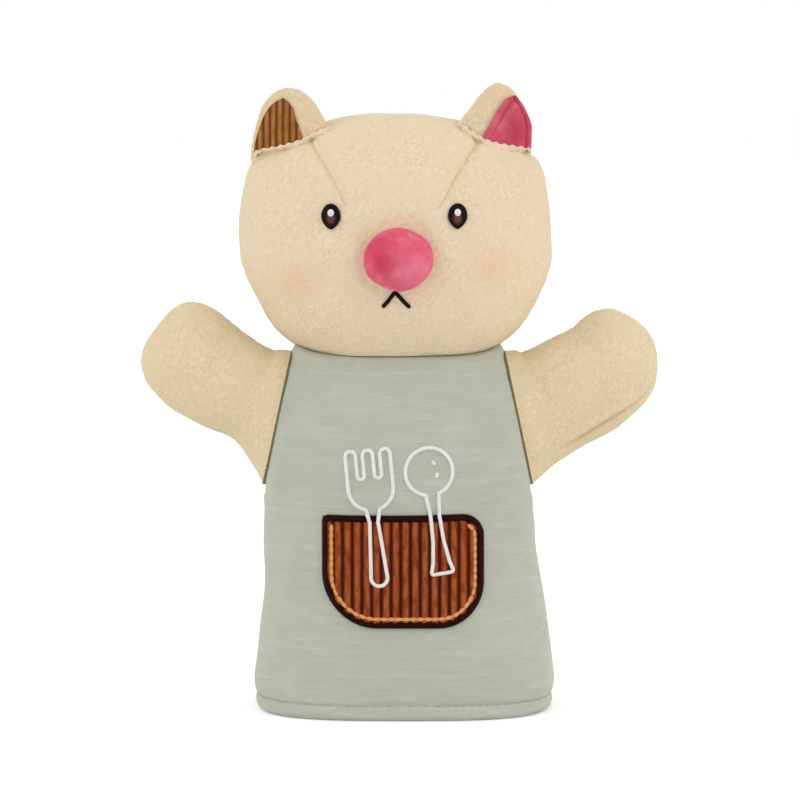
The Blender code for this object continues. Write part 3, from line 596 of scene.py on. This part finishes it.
# Nose: a round of pink velour gathered over its own fibre fill and sewn down to the
# face all round.
nose_wide, nose_deep, nose_tall, nose_reach = 0.0133, 0.0110, 0.0119, 0.05476
nose_mid = Vector((nose_place.x, head_mid.y - nose_reach + nose_deep, nose_place.y))
nose_velour = velour("nose_velour", (216, 88, 112), (190, 44, 66), (226, 122, 138),
                     (((-0.0085, -0.0450, 0.1850), 0.0110, 0.75, (198, 48, 82)),
                      ((-0.0050, -0.0475, 0.1778), 0.0080, 0.75, (184, 38, 58)),
                      ((0.0067, -0.0462, 0.1741), 0.0120, 0.80, (228, 124, 146))))
nose = bmesh.new()
bmesh.ops.create_icosphere(nose, subdivisions=6, radius=1.0)
for vert in nose.verts:
    way = vert.co.normalized()
    full = 1.0 + 0.035 * noise.noise(way * 1.6 + Vector((4.0, 0, 0)))
    spread = full * (1.0 - 0.22 * max(0.0, way.y) ** 2)
    vert.co = nose_mid + Vector((way.x * nose_wide * spread, way.y * nose_deep * full, way.z * nose_tall * spread))
nose.normal_update()
for vert in nose.verts:
    vert.co += vert.normal * tuft(vert.co, 0.0008, 0.00008)
nose_piece = finished("nose_round", nose, nose_velour)
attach(nose_piece, "head")
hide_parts("nose_cover", "nose_stuffing")


# Eyes and mouth: filled in with satin stitch straight onto the face, dark brown
# thread with a lighter brown low in the eye and a small white glint.
def thread(name, body, dark, light, turn, gloss=0.2):
    """Lustrous embroidery thread lying in close rows."""
    cloth, start = bolt_of_cloth(name, 0.5, 0.1, light, gloss)
    place = start.place()
    rows = start.moved(place, Rotation=(0, radians(turn), 0))
    lay = (start.axes(rows)[0] * 14000.0).waves()
    twist = start.flecks(place, 1500.0, 2.0)
    tone = (lay * 0.6 + twist * 0.4).blended(dark, body)
    tone = (twist.between(0.55, 0.75) * 0.5).blended(tone, light)
    return dyed(cloth, tone, lay + twist * 0.4, 0.00025, 0.5)


eye_rows = 13000.0
eye_thread, eye_start = bolt_of_cloth("eye_thread", 0.45, 0.0, gloss=0.08)
across, _, up = eye_start.axes(eye_start.place())
rows = (across * eye_rows).waves()
middle = eye_start.sum_of('ABSOLUTE', across + 0.0014) - 0.0242
low = (middle * 470.0) ** 2.0 + ((up - 0.1952) * 360.0) ** 2.0
brown = (1.0 - low).clamped().between(0.0, 1.0)
eye_tone = (brown * (rows * 0.35 + 0.65)).blended((16, 9, 7), (112, 68, 54))
dyed(eye_thread, eye_tone, rows, 0.0002, 0.5)
white_thread = thread("white_thread", (250, 249, 246), (214, 212, 210), (255, 255, 255), 62.0)
black_thread = thread("black_thread", (20, 12, 9), (6, 4, 3), (42, 30, 26), 30.0, 0.08)
for hand, eye in zip(("left", "right"), eye_places):
    for kind, wide, tall, rise, above, narrowing, base, cloth, node in (
            ("_eye_satin", 0.00370, 0.0049, 0.0010, 0.0, 0.30, -0.0004, eye_thread, "_eye"),
            ("_eye_highlight", 0.00125, 0.0014, 0.0006, 0.0014, 0.0, -0.0013, white_thread, "_eye_glint")):
        lens = bmesh.new()
        bmesh.ops.create_uvsphere(lens, u_segments=40, v_segments=20, radius=1.0)
        for vert in lens.verts:
            way = vert.co.copy()
            x = eye.x + wide * way.x * (1.0 - narrowing * max(0.0, -way.z) ** 2)
            z = eye.y + above + tall * way.z
            ridge = 0.00006 * sin(x * eye_rows) if way.y < 0 else 0.0
            vert.co = on_face(x, z, ridge - base - 0.9 * rise * bulged(way.y, 0.6))
        lens_piece = finished(hand + kind, lens, cloth)
        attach(lens_piece, "head")
        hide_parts(hand + node)
        "dark_thread" if node == "_eye" else "white_thread"
mouth_line = ((-0.0060, 0.1609), (-0.0037, 0.1635), (-0.0018, 0.1661), (-0.0011, 0.1668),
              (-0.0002, 0.1660), (0.0021, 0.1634), (0.0047, 0.1608))
mouth = stitched(on_face, mouth_line, width=0.0016, rise=0.0010, sink=0.0006, ribs=0.0009, slant=0.6)
mouth_piece = finished("mouth_satin", mouth, black_thread)
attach(mouth_piece, "head")
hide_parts("mouth_stitch")


# Smock: a front and a back panel of heathered grey-green jersey joined at the
# sides, open below for the hand, with the lower edge turned up inside and stitched
# and the neck edge sewn up under the head.
def jersey(name, body, dark, light):
    """Slubby knit: thin level streaks of uneven yarn over fine rows of loops."""
    cloth, start = bolt_of_cloth(name, 0.92, 0.7, light)
    place = start.node("UVMap", {"uv_map": "UVMap"}, {})
    streak = start.flecks(start.moved(place, Scale=(13.0, 330.0, 1.0)), 1.0, 3.0, Roughness=0.6)
    wide = start.moved(place, Scale=(5.0, 60.0, 1.0), Location=(3.0, 7.0, 0.0))
    slub = start.flecks(wide, 1.0, 2.0, Distortion=0.4)
    knit = start.moved(place, Scale=(165.0, 205.0, 1.0))
    loops = start.node("TexVoronoi", {}, {"Vector": knit, "Scale": 1.0, "Randomness": 0.45}, "Distance")
    cloud = start.flecks(place, 9.0, 2.0)
    tone = streak.between(0.36, 0.64).blended(dark, body)
    tone = (slub.between(0.50, 0.72) * 0.5).blended(tone, light)
    tone = (cloud.between(0.45, 0.7) * 0.25).blended(tone, light)
    tone = (loops.between(0.4, 0.9) * 0.28).blended(tone, dark)
    return dyed(cloth, tone, (1.0 - loops) + streak * 0.5, 0.0004, 0.4)


smock_jersey = jersey("grey_green_jersey", (181, 184, 169), (172, 175, 160), (190, 192, 178))
smock_length, hem_wide, flare_wide, waist_wide, neck_wide = 0.141, 0.0580, 0.0596, 0.0531, 0.0427
hem_deep, waist_deep, neck_deep, armhole_deep = 0.0360, 0.0290, 0.0195, 0.0140
flare_z, waist_z, seam_foot, seam_top = (share * smock_length for share in (0.09, 0.56, 0.624, 0.982))
square_top, hem_square, swing_top, swing_run, hem_swing = 0.055, 0.95, 0.068, 0.030, 0.0024
neck_edge, corner_rise, jersey_thick, hem_row = 0.1385, 0.0036, 0.0011, 0.0058
seam_foot_x = waist_wide + 0.0004
seam_mid = Vector(((seam_foot_x + neck_wide) / 2, 0, (seam_foot + seam_top) / 2))
seam_tilt = atan2(seam_foot_x - neck_wide, seam_top - seam_foot)


def smock_oval(z):
    """Half-width and half-depth of the smock at a height."""
    if z < waist_z:
        deep = mix(hem_deep, waist_deep, max(0.0, z) / waist_z)
    else:
        deep = mix(waist_deep, neck_deep, min(1.0, (z - waist_z) / (smock_length - waist_z)) ** 1.8)
    if z < flare_z:
        return mix(flare_wide, hem_wide, ((flare_z - z) / flare_z) ** 2), deep
    if z < waist_z:
        return mix(waist_wide, flare_wide, ((waist_z - z) / (waist_z - flare_z)) ** 1.4), deep
    if z < seam_foot:
        return mix(waist_wide, seam_foot_x, (z - waist_z) / (seam_foot - waist_z)), deep
    if z < seam_top:
        along = (z - seam_mid.z) / (seam_top - seam_mid.z)
        slant = mix(seam_foot_x, neck_wide, (z - seam_foot) / (seam_top - seam_foot))
        return slant / sqrt(1 - (armhole_deep / deep) ** 2 * (1 - along ** 2)), deep
    return neck_wide - 0.0001 - (z - seam_top) * tan(seam_tilt), deep


smock_line = ((0.0110, 0.0034), (0.0070, 0.0034), (0.0030, 0.0034), (0.0008, 0.0028), (0.0000, 0.0016),
              (0.0008, 0.0004), (0.0022, -0.0003), (0.0038, -0.0002), (0.0050, 0.0004), (0.0058, 0.0012),
              (0.0067, 0.0004), (0.0085, 0.0), (0.1385, 0.0), (0.1396, 0.0002), (0.1403, 0.0006),
              (0.1405, 0.0016), (0.1405, 0.0042), (0.1404, 0.0066), (0.1403, 0.0092))
smock_path = spaced(smock_line, 0.0010)


def smock_round(z, angle):
    """A spot on the smock's plain form, squarer towards the hem, and its outward way."""
    wide, deep = smock_oval(z)
    square = 2 / (2 + hem_square * within((square_top - z) / square_top) ** 1.5)
    swing = hem_swing * smooth((swing_top - z) / swing_run)
    spot = Vector((wide * bulged(cos(angle), square) + swing, deep * bulged(sin(angle), square), z))
    return spot, Vector((deep * cos(angle), wide * sin(angle), 0)).normalized()


def smock_spot(u, v, turn):
    """A spot on one smock panel, from side seam to side seam and from facing to neck."""
    z, inset = smock_path[round(v * (len(smock_path) - 1))]
    angle = turn + pi * u
    if z > neck_edge:
        corner = abs(cos(angle)) ** 6
        z += corner_rise * corner * min(1.0, (z - neck_edge) / 0.0018) * (1 - 40 * inset)
        inset *= 1 - 1.8 * max(0.0, sin(angle))
    spot, outward = smock_round(z, angle)
    calm = within((z - 0.004) / 0.03) * within((0.140 - z) / 0.02)
    held = within((z - seam_foot + 0.016) / 0.012)
    sewn = within((0.1375 - z) / 0.006)
    shift = pinch(abs(spot.y), 0.0013, 0.0010) * (sewn if inset < 0.002 else 0.0) - inset
    if spot.x:
        beyond = (abs(spot.x) - seam_mid.x) * cos(seam_tilt) + (spot.z - seam_mid.z) * sin(seam_tilt)
        if seam_foot - 0.004 < z < seam_top + 0.002:
            shift += pinch(beyond, 0.0014, 0.0010) * sewn - pinch(beyond + 0.0055, 0.0030, 0.0004)
        calm *= 1 - held * max(0.0, 1 - abs(beyond) / 0.012)
    shift += calm * (ripple(spot, 0.050, 0.0022, 11.0) + ripple(spot, 0.022, 0.0007, 12.0))
    return spot + outward * shift


for name, turn, nodes in (
        ("smock_front", pi, ("body_front", "hem_facing", "neck_sleeve")), ("smock_back", 0.0, ("body_back",))):
    panel = laid(150, len(smock_path) - 1, lambda u, v: smock_spot(u, v, turn))
    for side in (-1, 1):
        cut_away(panel, (side * seam_mid.x, 0, seam_mid.z), (side * cos(seam_tilt), 0, sin(seam_tilt)))
    if name == "smock_front":
        smock_face = BVHTree.FromBMesh(panel)
    panel_piece = finished(name, panel, smock_jersey)
    doubled(panel_piece, jersey_thick)
    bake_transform(panel_piece)
    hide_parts(*nodes)


# Hem stitching: one row of grey thread, run round the smock to hold its turned-up
# edge.
def stitch_row(spots, long, thick, lift):
    """Single stitches end to end along spots on the cloth, each with its outward way."""
    bm = bmesh.new()
    for (first, out), (last, _) in zip(spots[0::2], spots[1::2]):
        middle = (first + last) / 2 + out * lift
        forward = (last - first).normalized()
        side = forward.cross(out).normalized()
        turn = Matrix((forward, side, out)).transposed().to_4x4()
        size = Matrix.Diagonal((long / 2, thick / 2, thick / 2.4, 1.0))
        bmesh.ops.create_uvsphere(bm, u_segments=8, v_segments=6, radius=1.0,
                                  matrix=Matrix.Translation(middle) @ turn @ size)
    return bm


hem_thread = thread("grey_thread", (174, 176, 161), (150, 153, 138), (190, 191, 178), 0.0)
hem_count = 232
hem_spots = []
for k in range(hem_count):
    spot, outward = smock_round(hem_row, 2 * pi * k / hem_count)
    hem_spots.append((spot - outward * jersey_thick, outward))
hem_piece = finished("hem_stitching", stitch_row(hem_spots, 0.0021, 0.0007, 0.0001), hem_thread)
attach(hem_piece, "body")


# Pocket: a patch of brown corduroy with its ribs upright, one top corner square and
# the other round, laid flat on the smock's front and held all round by a border of
# dark brown satin stitch.
def arc(x, z, radius, start, stop, steps):
    """Points along a round corner or bowl, angles in degrees."""
    points = []
    for k in range(steps + 1):
        angle = radians(mix(start, stop, k / steps))
        points.append((x + radius * cos(angle), z + radius * sin(angle)))
    return points


patch_wide, patch_tall, patch_mid = 0.0624, 0.0430, Vector((0.0020, 0.0580))


def patch_edge(inset):
    """The pocket's outline drawn in by an inset, from its foot round to the right."""
    wide, tall = patch_wide / 2 - inset, patch_tall / 2 - inset
    points = []
    for share, across, up, start, steps in (
            (0.40, 1, -1, -90, 14), (0.19, 1, 1, 0, 10), (0.04, -1, 1, 90, 5), (0.48, -1, -1, 180, 16)):
        radius = max(0.0006, share * patch_tall - inset)
        points += arc(across * (wide - radius), up * (tall - radius), radius, start, start + 90, steps)
    return [(patch_mid.x + x, patch_mid.y + z) for x, z in points]


wale_pitch, wale_start = 0.00375, -0.0289
patch_inset, patch_thick, border_inset, topstitch_inset = 0.0021, 0.0007, 0.0012, 0.0034
patch_top = patch_mid.y + patch_tall / 2
patch_line = patch_edge(patch_inset)
pocket_corduroy = corduroy("pocket_corduroy", (56, 13, 3), (132, 54, 17), (176, 92, 46),
                           wale_start, wale_pitch, 0.75)


def on_smock(x, z, lift):
    """A spot lifted off the front of the smock."""
    return onto(smock_face, x, z, lift)


def patch_spot(u, v):
    """A spot on the ribbed pocket patch."""
    tall = patch_tall / 2 - patch_inset - 0.00002
    z = patch_mid.y + tall * (2 * v - 1)
    sides = []
    for (near, low), (far, high) in zip(patch_line, patch_line[1:] + patch_line[:1]):
        if (low - z) * (high - z) <= 0 and low != high:
            sides.append(mix(near, far, (z - low) / (high - low)))
    x = mix(min(sides), max(sides), u)
    rib = abs(sin((x - wale_start) * pi / wale_pitch))
    uneven = 0.00012 * noise.noise(Vector((x * 900, 0, z * 420)))
    return on_smock(x, z, 0.0004 + 0.0008 * rib + uneven)


patch = laid(176, 72, patch_spot)
# The right side faces the viewer, and the cloth's thickness stands off the smock.
if sum(face.normal.y for face in patch.faces) > 0:
    bmesh.ops.reverse_faces(patch, faces=patch.faces)
patch_piece = finished("pocket_patch_cord", patch, pocket_corduroy)
doubled(patch_piece, patch_thick, 1.0)
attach(patch_piece, "body")
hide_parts("pocket_patch")
border_thread = thread("dark_brown_thread", (42, 9, 6), (20, 4, 2), (66, 18, 12), 20.0, 0.06)
border = stitched(on_smock, patch_edge(border_inset), width=0.0031, rise=0.0019, sink=0.0004, ribs=0.0010,
                  slant=0.35, depth=0.13, closed=True)
border_piece = finished("pocket_border_satin", border, border_thread)
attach(border_piece, "body")
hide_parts("pocket_edging")


# Pocket topstitch: tan thread just inside the border, down one side, round the
# foot and up past the rounded corner.
tan_thread = thread("tan_thread", (236, 172, 104), (196, 124, 60), (250, 204, 146), 45.0)
topstitch_top, past_corner = patch_top - 0.0042, 24
inner = patch_edge(topstitch_inset)
down = max(k for k, point in enumerate(inner) if point[1] > topstitch_top) + 1
seam_run = [(inner[down][0], topstitch_top)] + inner[down:] + inner[:past_corner]
tan_spots = [(on_smock(x, z, 0.0015), Vector((0, -1, 0))) for x, z in spaced(seam_run, 0.0014)]
topstitch_piece = finished("pocket_topstitch_thread", stitch_row(tan_spots, 0.0038, 0.0017, 0.0), tan_thread)
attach(topstitch_piece, "body")
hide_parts("pocket_topstitch")


# Fork and spoon: plain outlines in white satin stitch, worked through smock and
# pocket after the pocket is on, so that they look tucked into it.
cutlery_foot, cutlery_long = 0.0525, 0.0520
fork_x, fork_lean, spoon_x, spoon_lean = -0.0094, radians(5.5), 0.0145, radians(7.8)


def leaned(points, x, lean):
    """Stand an outline drawn in millimetres in the pocket, with a slight lean."""
    out = []
    for across, up in points:
        across, along = across / 1000, up / 1000 - cutlery_long / 2
        out.append((x + across * cos(lean) - along * sin(lean),
                    cutlery_foot + cutlery_long / 2 + across * sin(lean) + along * cos(lean)))
    return out


tine, tine_gap = 4.0, 2.7
fork = arc(0, 3.2, 3.2, 180, 360, 10) + [(1.6, 25.0)] + arc(0, 38.0, 8.7, -72, 0, 10)
for k in (1, 0, -1):
    fork += arc(k * (tine + tine_gap), 52.8 - tine / 2, tine / 2, 0, 180, 8)
    if k > -1:
        fork += arc((k - 0.5) * (tine + tine_gap), 43.2, tine_gap / 2, 0, -180, 6)
fork += arc(0, 38.0, 8.7, 180, 252, 10) + [(-1.6, 25.0)]
spoon = arc(-3.3, 5.6, 0.9, 180, 270, 4) + arc(3.3, 5.6, 0.9, -90, 0, 4)
spoon += [(3.2, 9.0), (2.1, 17.0), (1.7, 27.0)] + arc(0, 44.4, 9.2, -74, 254, 36)
spoon += [(-1.7, 27.0), (-2.1, 17.0), (-3.2, 9.0)]


def over_pocket(x, z, lift):
    """A spot lifted off the smock, and off the pocket where that lies on it."""
    edge = patch_top - z
    rise = 0.0017 * within((edge + 0.0012) / 0.0012) - 0.0001 * within((edge - 0.0022) / 0.0014)
    return on_smock(x, z, lift + rise)


for name, outline, node in (
        ("fork_satin", leaned(fork, fork_x, fork_lean), "fork_embroidery"),
        ("spoon_satin", leaned(spoon, spoon_x, spoon_lean), "spoon_embroidery")):
    figure = stitched(over_pocket, outline, width=0.0015, rise=0.0009, sink=0.0006, ribs=0.0010, slant=0.8,
                      closed=True)
    figure_piece = finished(name, figure, white_thread)
    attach(figure_piece, "body")
    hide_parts(node)
for name, ends in (
        ("spoon_glint_upper", ((1.6, 48.4), (2.7, 46.6))), ("spoon_glint_lower", ((3.2, 43.6), (2.5, 41.6)))):
    stroke = leaned(ends, spoon_x, spoon_lean)
    glint = stitched(on_smock, stroke, width=0.0013, rise=0.0007, sink=0.0004, ribs=0.0009, slant=0.8)
    glint_piece = finished(name, glint, white_thread)
    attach(glint_piece, "body")


# Arms: mitten sleeves of the same terry, each sewn from a front and a back and let
# into the slanted shoulder seam. Thumb and finger go inside, so they are hollow.
arm_way, arm_long, paw_wide, paw_deep = radians(35.0), 0.0606, 0.0210, 0.0155
taper_long, bend_at, shoulder_rise, sleeve_thick = 0.0220, 0.00875, 0.0030, 0.0011
straight_long = arm_long - paw_wide
seam_half = hypot(seam_foot_x - neck_wide, seam_top - seam_foot) / 2
front_fill, top_crease = {-1: 0.0014, 1: 0.0007}, {-1: 0.0005, 1: 0.0008}
sleeve_swells = {
    -1: ((0.0020, 0.0, 1, 0.047, 0.014), (0.0030, 0.0, 1, 0.056, 0.007), (0.0, -0.0017, 1, 0.027, 0.010),
         (0.0, -0.0022, 1, 0.045, 0.010), (0.0, -0.0052, 1.5, 0.011, 0.009)),
    1: ((0.0, 0.0023, 1.5, 0.026, 0.012), (-0.0021, 0.0012, 1, 0.039, 0.011))}
# The same terry as the head, painted a little darker: painted shade on the sleeves.
shaded_arm_terry = terry("shaded_arm_terry", (225, 206, 170), (215, 194, 155), (231, 214, 180))


def slanted(side, tilt):
    """The outward and the upward way of a sleeve that tilts by an angle."""
    return Vector((side * cos(tilt), 0, sin(tilt))), Vector((-side * sin(tilt), 0, cos(tilt)))


def sleeve_frame(side, reach):
    """A sleeve's middle, outward way, upward way and half-sizes at a distance from its seam."""
    share = within(reach / taper_long)
    out, up = slanted(side, mix(seam_tilt, arm_way, smooth(share)))
    wide = mix(paw_wide, seam_half, (1 - share) ** 2)
    deep = mix(armhole_deep, paw_deep, share)
    close = sqrt(max(0.0, 1 - (max(0.0, reach - straight_long) / paw_wide) ** 2))
    middle = Vector((side * seam_mid.x, 0, seam_mid.z)) + slanted(side, arm_way)[0] * reach
    return middle, out, up, wide * close, deep * close


def sleeve_spot(side, run, round_):
    """A spot on a sleeve: along it over the paw, and round it from the top to the back."""
    past = (run - straight_long) / paw_wide
    reach = run if past < 0 else straight_long + paw_wide * sin(min(pi / 2, past))
    middle, _, up, wide, deep = sleeve_frame(side, reach)
    angle = 2 * pi * round_
    over, below, front = max(0.0, cos(angle)), max(0.0, -cos(angle)), max(0.0, -sin(angle))
    spot = middle + up * (wide * cos(angle)) + Vector((0, deep * sin(angle), 0))
    spot += up * (shoulder_rise * over ** 2 * exp(-(reach / 0.017) ** 2))
    outward = (up * (paw_deep * cos(angle)) + Vector((0, paw_wide * sin(angle), 0))).normalized()
    tip = within((reach - straight_long) / paw_wide)
    outward = (outward * sqrt(1 - tip * tip) + slanted(side, arm_way)[0] * tip).normalized()
    girth = (wide + deep) / 2
    shift = ripple(spot, 0.020, 0.0009, 20.0 + side) + ripple(spot, 0.009, 0.0003, 22.0 + side)
    edge = min(1.0, reach / 0.004)
    top = abs((angle + pi) % (2 * pi) - pi) * girth
    shift += pinch(top, 0.0012, 0.0008) * edge
    under = angle - pi
    if side > 0:
        low = (under - 0.53 - 0.13 * sin(reach * 60.0)) * girth
        fade = within((reach - 0.010) / 0.008) * within((0.056 - reach) / 0.006)
        shift += (pinch(low, 0.0010, 0.0030) - pinch(low - 0.0022, 0.0013, 0.0019)) * fade
        shift -= pinch(reach - 0.052, 0.010, 0.0012)
    else:
        shift += pinch(under * girth, 0.0012, 0.0008) * edge
    shift += pinch(reach, 0.0013, 0.0009)
    for above, beneath, power, at, long in sleeve_swells[side]:
        shift -= pinch(reach - at, long, above * over + beneath * below ** power) * (1 - tip ** 4)
    shift += pinch(reach - 0.012, 0.008, front_fill[side] * front)
    shift -= top_crease[side] * exp(-((reach - 0.0125) / 0.0028) ** 2 - (top / 0.0085) ** 2)
    calm = min(1.0, reach / 0.003)
    return spot + outward * (shift * (0.15 + 0.85 * calm) + calm * terry_pile(spot))


for hand, side in (("left", -1), ("right", 1)):
    sewn = straight_long + paw_wide * pi / 2
    middle, square = sleeve_frame(side, bend_at)[:2]
    strip = laid(240, 12, lambda u, v: sleeve_spot(side, bend_at * v, u))
    strip_piece = finished(hand + "_sleeve_strip", strip, shaded_arm_terry)
    doubled(strip_piece, sleeve_thick)
    hand + "_shoulder"
    middle - square * 0.0050
    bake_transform(strip_piece)
    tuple(middle)
    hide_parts(hand + "_sleeve_root")
    sleeve = laid(240, 96, lambda u, v: sleeve_spot(side, mix(bend_at, sewn, v), u))
    sleeve_piece = finished(hand + "_sleeve", sleeve, shaded_arm_terry)
    doubled(sleeve_piece, sleeve_thick)
    hand + "_shoulder"
    hand + "_arm"
    middle + square * 0.0140
    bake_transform(sleeve_piece)
    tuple(middle)
    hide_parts(hand + "_arm_front", hand + "_arm_back")
    hand + "_sleeve_strip"


# Shoulder seams: the row of thread that closes each armhole, sunk between smock
# and sleeve, its dark olive partly painted shade of the crease.
seam_thread_thick = 0.00072
# Dark olive: partly the thread's own colour, partly painted shade in the crease between smock and sleeve.
shaded_seam_thread = thread("shaded_seam_thread", (146, 135, 102), (116, 105, 75), (164, 152, 120), 0.0, 0.08)
for hand, side in (("left", -1), ("right", 1)):
    def seam_spot(u, v):
        """A spot on the thread that runs round an armhole."""
        angle, turn = 2 * pi * u, 2 * pi * v
        middle, square, up, wide, deep = sleeve_frame(side, 0.0)
        out = (up * (deep * cos(angle)) + Vector((0, wide * sin(angle), 0))).normalized()
        round_ = middle + up * (wide * cos(angle) + shoulder_rise * max(0.0, cos(angle)) ** 2)
        round_ += Vector((0, deep * sin(angle), 0))
        twist = seam_thread_thick * (1 + 0.08 * sin(60 * angle + turn))
        return round_ + out * (twist * cos(turn) - 0.0008) + square * (twist * sin(turn) - 0.0003)

    seam_piece = finished(hand + "_shoulder_seam", laid(240, 8, seam_spot), shaded_seam_thread)
    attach(seam_piece, "body")


# Photo table: a white floor that keeps the puppet's shadow, soft light from large
# lamps, and a camera a little above the puppet's middle.
def seen_rays(start):
    """One for rays that show a surface to the viewer, none for rays that light the cloth."""
    kinds = ("Is Camera Ray", "Is Glossy Ray", "Is Transmission Ray")
    camera, glossy, through = (start.node("LightPath", {}, {}, kind) for kind in kinds)
    return (camera + glossy + through).clamped()


table_glow, sky_seen, sky_light = 0.27, 0.32, 0.68
lamp_spread, camera_rise, camera_far = radians(60.0), radians(6.5), 1.2
floor = bmesh.new()
bmesh.ops.create_grid(floor, x_segments=1, y_segments=1, size=6.0)
floor_cloth, floor_start = bolt_of_cloth("white_table", 0.9, 0.0, gloss=0.5)
parts, links = floor_cloth.node_tree.nodes, floor_cloth.node_tree.links
white = parts["Principled BSDF"]
paper = floor_start.flecks(floor_start.place(), 40.0, 2.0)
paper_tone = floor_start.node("Mix", {"data_type": 'RGBA'}, {
    0: paper * 0.04, 6: (0.86, 0.86, 0.86, 1.0), 7: (0.82, 0.82, 0.82, 1.0)}, 2)
links.new(paper_tone.socket, white.inputs["Base Color"])
shown = seen_rays(floor_start) * table_glow
glow = floor_start.node("Emission", {}, {"Color": (1.0, 1.0, 1.0, 1.0), "Strength": shown})
lit = floor_start.node("AddShader", {}, {0: Dye(floor_start.tree, white.outputs[0]), 1: glow})
links.new(lit.socket, parts["Material Output"].inputs["Surface"])
floor_piece = finished("photo_table", floor, floor_cloth)
world = bpy.data.worlds.new("studio")
bpy.context.scene.world = world
world.use_nodes = True
sky = Dye(world.node_tree)
back = world.node_tree.nodes["Background"]
back.inputs["Color"].default_value = (1.0, 1.0, 1.0, 1.0)
strength = seen_rays(sky) * sky_seen + sky_light
world.node_tree.links.new(strength.socket, back.inputs["Strength"])
for name, way, power in (
        ("key_lamp", (1.20, 0.54, -0.60), 1.04), ("fill_lamp", (-1.20, 0.54, -0.55), 1.18),
        ("back_lamp", (0.10, -1.0, -0.70), 0.55)):
    lamp = bpy.data.lights.new(name, 'SUN')
    lamp.energy = power
    lamp.angle = lamp_spread
    put_in(name, lamp).rotation_euler = Vector(way).to_track_quat('-Z', 'Y').to_euler()
aim = Vector((0.0008, 0.0, 0.1216))
lens = bpy.data.cameras.new("photo_camera")
lens.lens = 136.7
lens.sensor_width = 36.0
viewer = put_in("photo_camera", lens)
viewer.location = aim + Vector((0, -cos(camera_rise), sin(camera_rise))) * camera_far
viewer.rotation_euler = (aim - viewer.location).to_track_quat('-Z', 'Y').to_euler()
bpy.context.scene.camera = viewer
bpy.context.scene.view_settings.view_transform = 'Standard'
